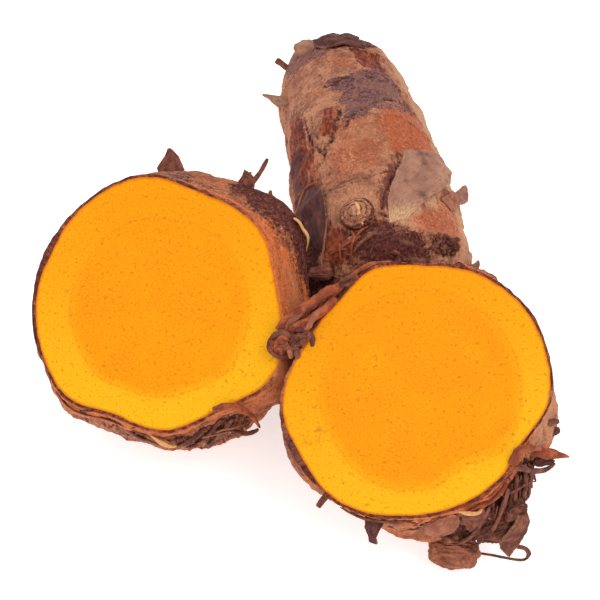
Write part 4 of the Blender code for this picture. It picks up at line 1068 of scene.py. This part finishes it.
def bark_finish(name, light, deep, warm, stretch):
    """Dry skin: grainy brown with stains, streaks and pores, with painted shade in hollows, paler on ridges.
    """
    finish = Finish(name, 0.75)
    where = finish.place()
    along = finish.place(stretch)
    around = finish.place((0.3, 0.3, 1.0))
    patches = finish.grain(where, 0.42, 4.0, 0.65, 0.4)
    grain = finish.grain(where, 3.0, 4.0, 0.75)
    pores = finish.grain(where, 7.0, 3.0, 0.7)
    streaks = finish.grain(along, 2.2, 4.0, 0.7)
    rings = finish.grain(around, 2.6, 3.0, 0.7, 0.5)
    tone = finish.two_tone(patches, 0.36, 0.62, deep, light)
    tone = finish.mix(broken(finish, "orange", grain, 0.4), tone, colour(*warm))
    tone = finish.mix(broken(finish, "pale", grain, 0.4), tone, colour(216, 164, 124))
    tone = finish.over(tone, grain, 0.52, 0.66, 0.5, (104, 52, 38))
    tone = finish.over(tone, streaks, 0.54, 0.7, 0.3, (86, 42, 34))
    tone = finish.over(tone, grain, 0.46, 0.34, 0.6, (228, 170, 128))
    red = finish.two_tone(streaks, 0.4, 0.62, (160, 74, 44), (98, 42, 32))
    tone = finish.mix(broken(finish, "red", streaks, 0.8), tone, red)
    purple = finish.two_tone(grain, 0.38, 0.62, (160, 108, 98), (98, 56, 58))
    purple = finish.over(purple, rings, 0.48, 0.66, 0.75, (80, 42, 46))
    purple = finish.over(purple, patches, 0.44, 0.6, 0.6, (158, 106, 88))
    tone = finish.mix(broken(finish, "purple", grain, 0.7), tone, purple)
    # Colour of this stain, which also paints the shade in creases, pits and pockets
    dark_stain_and_shade = finish.two_tone(grain, 0.4, 0.68, (116, 58, 50), (48, 20, 22))
    tone = finish.mix(broken(finish, "dark_stain_and_shade", grain, 0.6), tone, dark_stain_and_shade)
    # Painted shade where the relief sinks, and paler where it rises
    tone = finish.over(tone, finish.stored("relief_shading"), 0.04, 0.34, 0.8, (62, 28, 26))
    tone = finish.over(tone, finish.stored("relief_shading"), -0.08, -0.34, 0.3, (214, 158, 122))
    shade = finish.spread(pores, 0.3, 0.62, 1.12, 0.78)
    grey = finish.node("ShaderNodeCombineColor", Red=shade, Green=shade, Blue=shade).outputs[0]
    tone = finish.mix(1.0, tone, grey, "MULTIPLY")
    finish.coat(tone, finish.spread(patches, 0.3, 0.7, 0.62, 0.85))
    relief = finish.maths("SUBTRACT", finish.maths("MULTIPLY", streaks, -0.6), grain)
    finish.bump(finish.maths("SUBTRACT", relief, finish.maths("MULTIPLY", pores, 0.4)), 0.25 * MM, 0.9)
    return finish.material


def flesh_finish(name):
    """Cut flesh: an orange core in a more yellow bark ring, with a fine line between them and many specks."""
    finish = Finish(name, 0.5)
    where = finish.place()
    slow = finish.grain(where, 0.16, 2.0)
    fine = finish.grain(where, 3.4, 3.0, 0.7)
    specks = finish.grain(where, 1.7, 2.0, 0.6)
    core = finish.maths("ADD", finish.stored("core"), finish.spread(slow, 0.2, 0.8, -0.012, 0.012))
    middle = finish.two_tone(slow, 0.3, 0.7, (241, 146, 4), (243, 154, 6))
    bark = finish.mix(finish.stored("yellow"), colour(242, 152, 6), colour(247, 183, 22))
    tone = finish.mix(finish.spread(core, 0.88, 1.08), middle, bark)
    line = finish.maths("MULTIPLY", finish.spread(core, 0.972, 0.994), finish.spread(core, 1.016, 0.998))
    line = finish.maths("MULTIPLY", line, finish.spread(specks, 0.35, 0.6, 0.1, 0.5))
    tone = finish.mix(line, tone, colour(228, 138, 12))
    tone = finish.over(tone, fine, 0.46, 0.68, 0.45, (230, 122, 4))
    tone = finish.over(tone, fine, 0.5, 0.32, 0.4, (250, 176, 30))
    tone = finish.over(tone, specks, 0.58, 0.7, 0.5, (214, 116, 6))
    tone = finish.over(tone, specks, 0.68, 0.76, 0.35, (170, 112, 20))
    bruise = finish.maths("MULTIPLY", finish.stored("bruise"), finish.spread(specks, 0.42, 0.6, 0.15, 0.6))
    tone = finish.mix(bruise, tone, colour(184, 104, 22))
    tone = finish.over(tone, finish.stored("share"), 0.97, 1.0, 0.8, (206, 96, 16))
    finish.coat(tone, finish.spread(fine, 0.3, 0.7, 0.42, 0.6))
    finish.shader.inputs["Specular IOR Level"].default_value = 0.08
    finish.bump(fine, 0.08 * MM, 0.6)
    return finish.material


def dry_finish(name, light, deep, stretch, roughness):
    """Dry scale or root: two tones in streaks along it, painted shade in its folds, and paler where it is
    torn.
    """
    finish = Finish(name, roughness)
    light, deep = colour(*light), colour(*deep)
    where = finish.place()
    drawn = finish.place(stretch)
    patches = finish.grain(where, 0.6, 3.0, 0.65)
    streaks = finish.grain(drawn, 1.8, 4.0, 0.7)
    grain = finish.grain(where, 4.0, 4.0, 0.75)
    tone = finish.mix(finish.spread(patches, 0.36, 0.62, 0.0, 0.7), light, deep)
    tone = finish.mix(finish.spread(streaks, 0.5, 0.68, 0.0, 0.6), tone, deep)
    tone = finish.over(tone, grain, 0.54, 0.7, 0.6, (76, 40, 34))
    # Painted shade in the folds
    tone = finish.over(tone, finish.stored("fold_shade"), 0.1, 0.9, 0.6, (70, 34, 32))
    pale = finish.mix(finish.spread(grain, 0.4, 0.6), colour(228, 180, 130), light)
    tone = finish.mix(finish.stored("torn"), tone, pale)
    finish.coat(tone, finish.spread(grain, 0.3, 0.7, roughness - 0.08, roughness + 0.08))
    finish.bump(finish.maths("SUBTRACT", finish.maths("MULTIPLY", streaks, -1.0), grain), 0.16 * MM, 0.8)
    return finish.material


def floor_and_light():
    """A plain pale floor under plain soft light."""
    bpy.ops.object.select_all(action="DESELECT")
    bpy.ops.mesh.primitive_plane_add(size=3.0, location=(0.0, 0.0, 0.0))
    floor = bpy.context.object
    floor.name = "floor"
    paper = Finish("pale_floor", 0.9)
    mottle = paper.node("ShaderNodeTexNoise", Scale=6.0).outputs["Fac"]
    paper.coat(paper.mix(paper.spread(mottle, 0.3, 0.7), (0.86, 0.86, 0.86, 1.0), (0.88, 0.88, 0.88, 1.0)))
    paper.shader.inputs["Emission Strength"].default_value = 0.6
    floor.data.materials.append(paper.material)
    world = bpy.data.worlds.new("soft_room")
    world.use_nodes = True
    world.node_tree.nodes["Background"].inputs["Color"].default_value = (1.0, 1.0, 1.0, 1.0)
    world.node_tree.nodes["Background"].inputs["Strength"].default_value = 0.95
    bpy.context.scene.world = world
    for name, place, size, power in (
        ("key_light", (0.25, -0.15, 0.6), 0.35, 0.8),
        ("back_light", (-0.3, 0.45, 0.45), 0.4, 0.4),
    ):
        bpy.ops.object.light_add(type="AREA", location=place)
        light = bpy.context.object
        light.name = name
        light.data.shape = "DISK"
        light.data.size = size
        light.data.energy = power
        light.rotation_euler = (-Vector(place)).to_track_quat("-Z", "Y").to_euler()


def camera():
    """The photograph's view."""
    tilt = math.radians(CAMERA_ELEVATION)
    back = Vector((0.0, -math.cos(tilt), math.sin(tilt))) * CAMERA_DISTANCE
    place = (Vector(CAMERA_AIM) + back) * MM
    bpy.ops.object.camera_add(location=place, rotation=(math.pi / 2 - tilt, 0.0, 0.0))
    view = bpy.context.object
    view.name = "photo_camera"
    view.data.lens = CAMERA_LENS
    view.data.sensor_width = 36.0
    view.data.clip_start = 0.01
    view.data.clip_end = 10.0
    bpy.context.scene.camera = view


camera()
floor_and_light()
bpy.context.scene.view_settings.view_transform = "Standard"

branches = {name: Branch(**rows) for name, rows in BRANCHES.items()}
finger_bark = bark_finish("turmeric_bark", (210, 142, 106), (160, 96, 70), (194, 98, 58), (1.0, 1.0, 0.4))
stub_bark = bark_finish("peeling_bark", (212, 126, 82), (158, 86, 56), (232, 122, 66), (0.3, 0.3, 1.0))
finishes = {kind: (dry_finish(*looks), slot) for kind, (slot, *looks) in DRY_FINISHES.items()}

for name, columns, rows, is_cut, texture, bark in (
    ("left_stub", 400, 84, True, stub_texture, stub_bark),
    ("right_stub", 400, 84, True, stub_texture, stub_bark),
    ("mother", 160, 110, False, finger_texture, finger_bark),
    ("finger", 300, 260, False, finger_texture, finger_bark),
):
    skin = branch_skin(name, branches[name], columns, rows, is_cut, texture)
    skin.name = skin.data.name = name + "_skin"
    finish_piece(skin, bark, "skin")

flesh_orange = flesh_finish("turmeric_flesh")
for name, core, bruises in (
    ("left_stub", (0.1, 0.2, 11.6, 10.7), ((0.93, 350.0, 0.3),)),
    ("right_stub", (0.4, 0.0, 11.9, 12.0), ((0.83, 206.0, 0.5), (0.88, 210.0, 0.45), (0.96, 209.0, 0.5))),
):
    finish_piece(cut_flesh(name, branches[name], core, bruises), flesh_orange, "cut_flesh")

finish_piece(round_bud("round_bud", branches["finger"], *BUD), finger_bark, "skin")

for number, (name, (branch, kind, *shape)) in enumerate(SHEETS.items()):
    finish_piece(sheet(name, branches.get(branch), *shape, number * 3.1), *finishes[kind])

leaves = []
for number, (branch, *shape) in enumerate(LEAVES):
    leaves.append(sheet("back_scale", branches[branch], 0.3, 0.15, 0.0, *leaf_edges(*shape), 60 + number))
finish_piece(join("back_scales", leaves), *finishes[BROWN])

draw = random.Random(SEED)
stubs = []
for number, (branch, along, degrees, direction, length, root_radius, tip_radius) in enumerate(ROOTS):
    start, _ = branches[branch].spot(along, degrees)
    way = unit(np.array(direction, float))
    reach = np.linspace(-1.0, length, 14)[:, None]
    bend = 0.06 * np.sin(np.linspace(0, math.pi, 14))[:, None] * length * np.cross(way, UP)
    radii = np.linspace(root_radius, tip_radius, 14)
    path = start + way * reach + bend
    stubs.append(sweep("root", path, np.cross(way, ASLANT), radii, 12, 0.85, 0.25, number * 2.3))
count = 0
while count < BACK_ROOTS:
    branch = branches[draw.choice(("left_stub", "right_stub", "finger", "finger", "mother"))]
    along = draw.uniform(0.15, 0.85) * branch.length
    place, way = branch.spot(along, math.degrees(draw.uniform(0.0, math.tau)))
    length = draw.uniform(*BACK_ROOT_LENGTHS)
    end = place + way * length
    if way @ FRONT < BACK_LIMIT and place[2] > 3.0 and end[2] > 1.5:
        reach = np.linspace(-1.0, length, 10)[:, None]
        path, radii = place + way * reach, np.linspace(0.55, 0.35, 10)
        stubs.append(sweep("root", path, np.cross(way, ASLANT), radii, 12, 0.9, 0.25, 40 + count))
        count += 1
finish_piece(join("root_stubs", stubs), *finishes[ROOTLET])

bundles = {}
for number, (branch, kind, radius, flatness, points) in enumerate(STRANDS):
    path, outwards = branches[branch].path(points, 9)
    radii = radius * tapered(path, (0, 0.15, 0.7, 1), (0.7, 1.0, 0.9, 0.35))
    strand = sweep("strand", path, outwards, radii, 12, flatness, 0.3, number * 1.7)
    bundles.setdefault((branch + "_" + kind + "_strands", kind), []).append(strand)
for branch, many, spans, turns, heading_middle, heading_spread, lift in FIBRES:
    for number in range(many):
        along = draw.uniform(*spans)
        degrees = draw.uniform(*turns)
        heading = draw.gauss(heading_middle, heading_spread)
        span = draw.uniform(1.2, 3.6)
        bend = draw.uniform(-0.8, 0.8)
        t = np.linspace(0, 1, 6)
        ways = np.maximum(along + span * math.sin(heading) * t + bend * t * t, FIBRE_START)
        around = degrees + FIBRE_TURN * span * math.cos(heading) * t
        path, outwards = branches[branch].path(table(ways, around, lift + 0.14 * np.sin(5 * t + number)), 4)
        radii = draw.uniform(0.08, 0.2) * np.linspace(1.0, 0.5, len(path))
        fibre = sweep("fibre", path, outwards, radii, 6, 1.0, 0.2, number)
        bundles.setdefault((branch + "_" + ROOTLET + "_strands", ROOTLET), []).append(fibre)
finish_bundles(bundles)

for number, (name, (*shape, kind)) in enumerate(LUMPS.items()):
    finish_piece(lump(name, *shape, 5.0 * number), *finishes[kind])
crumbs = []
for number, (along, degrees, radius) in enumerate(CRUMBS):
    place, _ = branches["finger"].spot(along, degrees)
    size = radius * np.array((1.3, 0.75, 0.55))
    crumbs.append(lump("crumb", place, size, 37.0 * number, 0.9, 0.4, 3.0 * number, 4))
finish_piece(join("base_crumbs", crumbs), *finishes[ROOTLET])

bundles = {}
for number, (kind, radius, flatness, tip_share, points) in enumerate(CURLS):
    path = smooth_rows(points, 8)
    radii = radius * tapered(path, (0, 0.2, 0.6, 1), (0.6, 1.0, 0.9, tip_share))
    curl = sweep("curl", path, (0.2, -0.6, 0.8), radii, 16, flatness, 0.35, 80 + number)
    bundles.setdefault(("loose_" + kind + "_peels", kind), []).append(curl)
finish_bundles(bundles)

path = smooth_rows(HOOKED_ROOT, 10)
radii = tapered(path, (0, 0.5, 0.62, 1), (0.15, 0.17, 0.3, 0.26))
finish_piece(sweep("hooked_root", path, FRONT, radii, 12, 0.9, 0.2, 90.0), *finishes[ROOTLET])
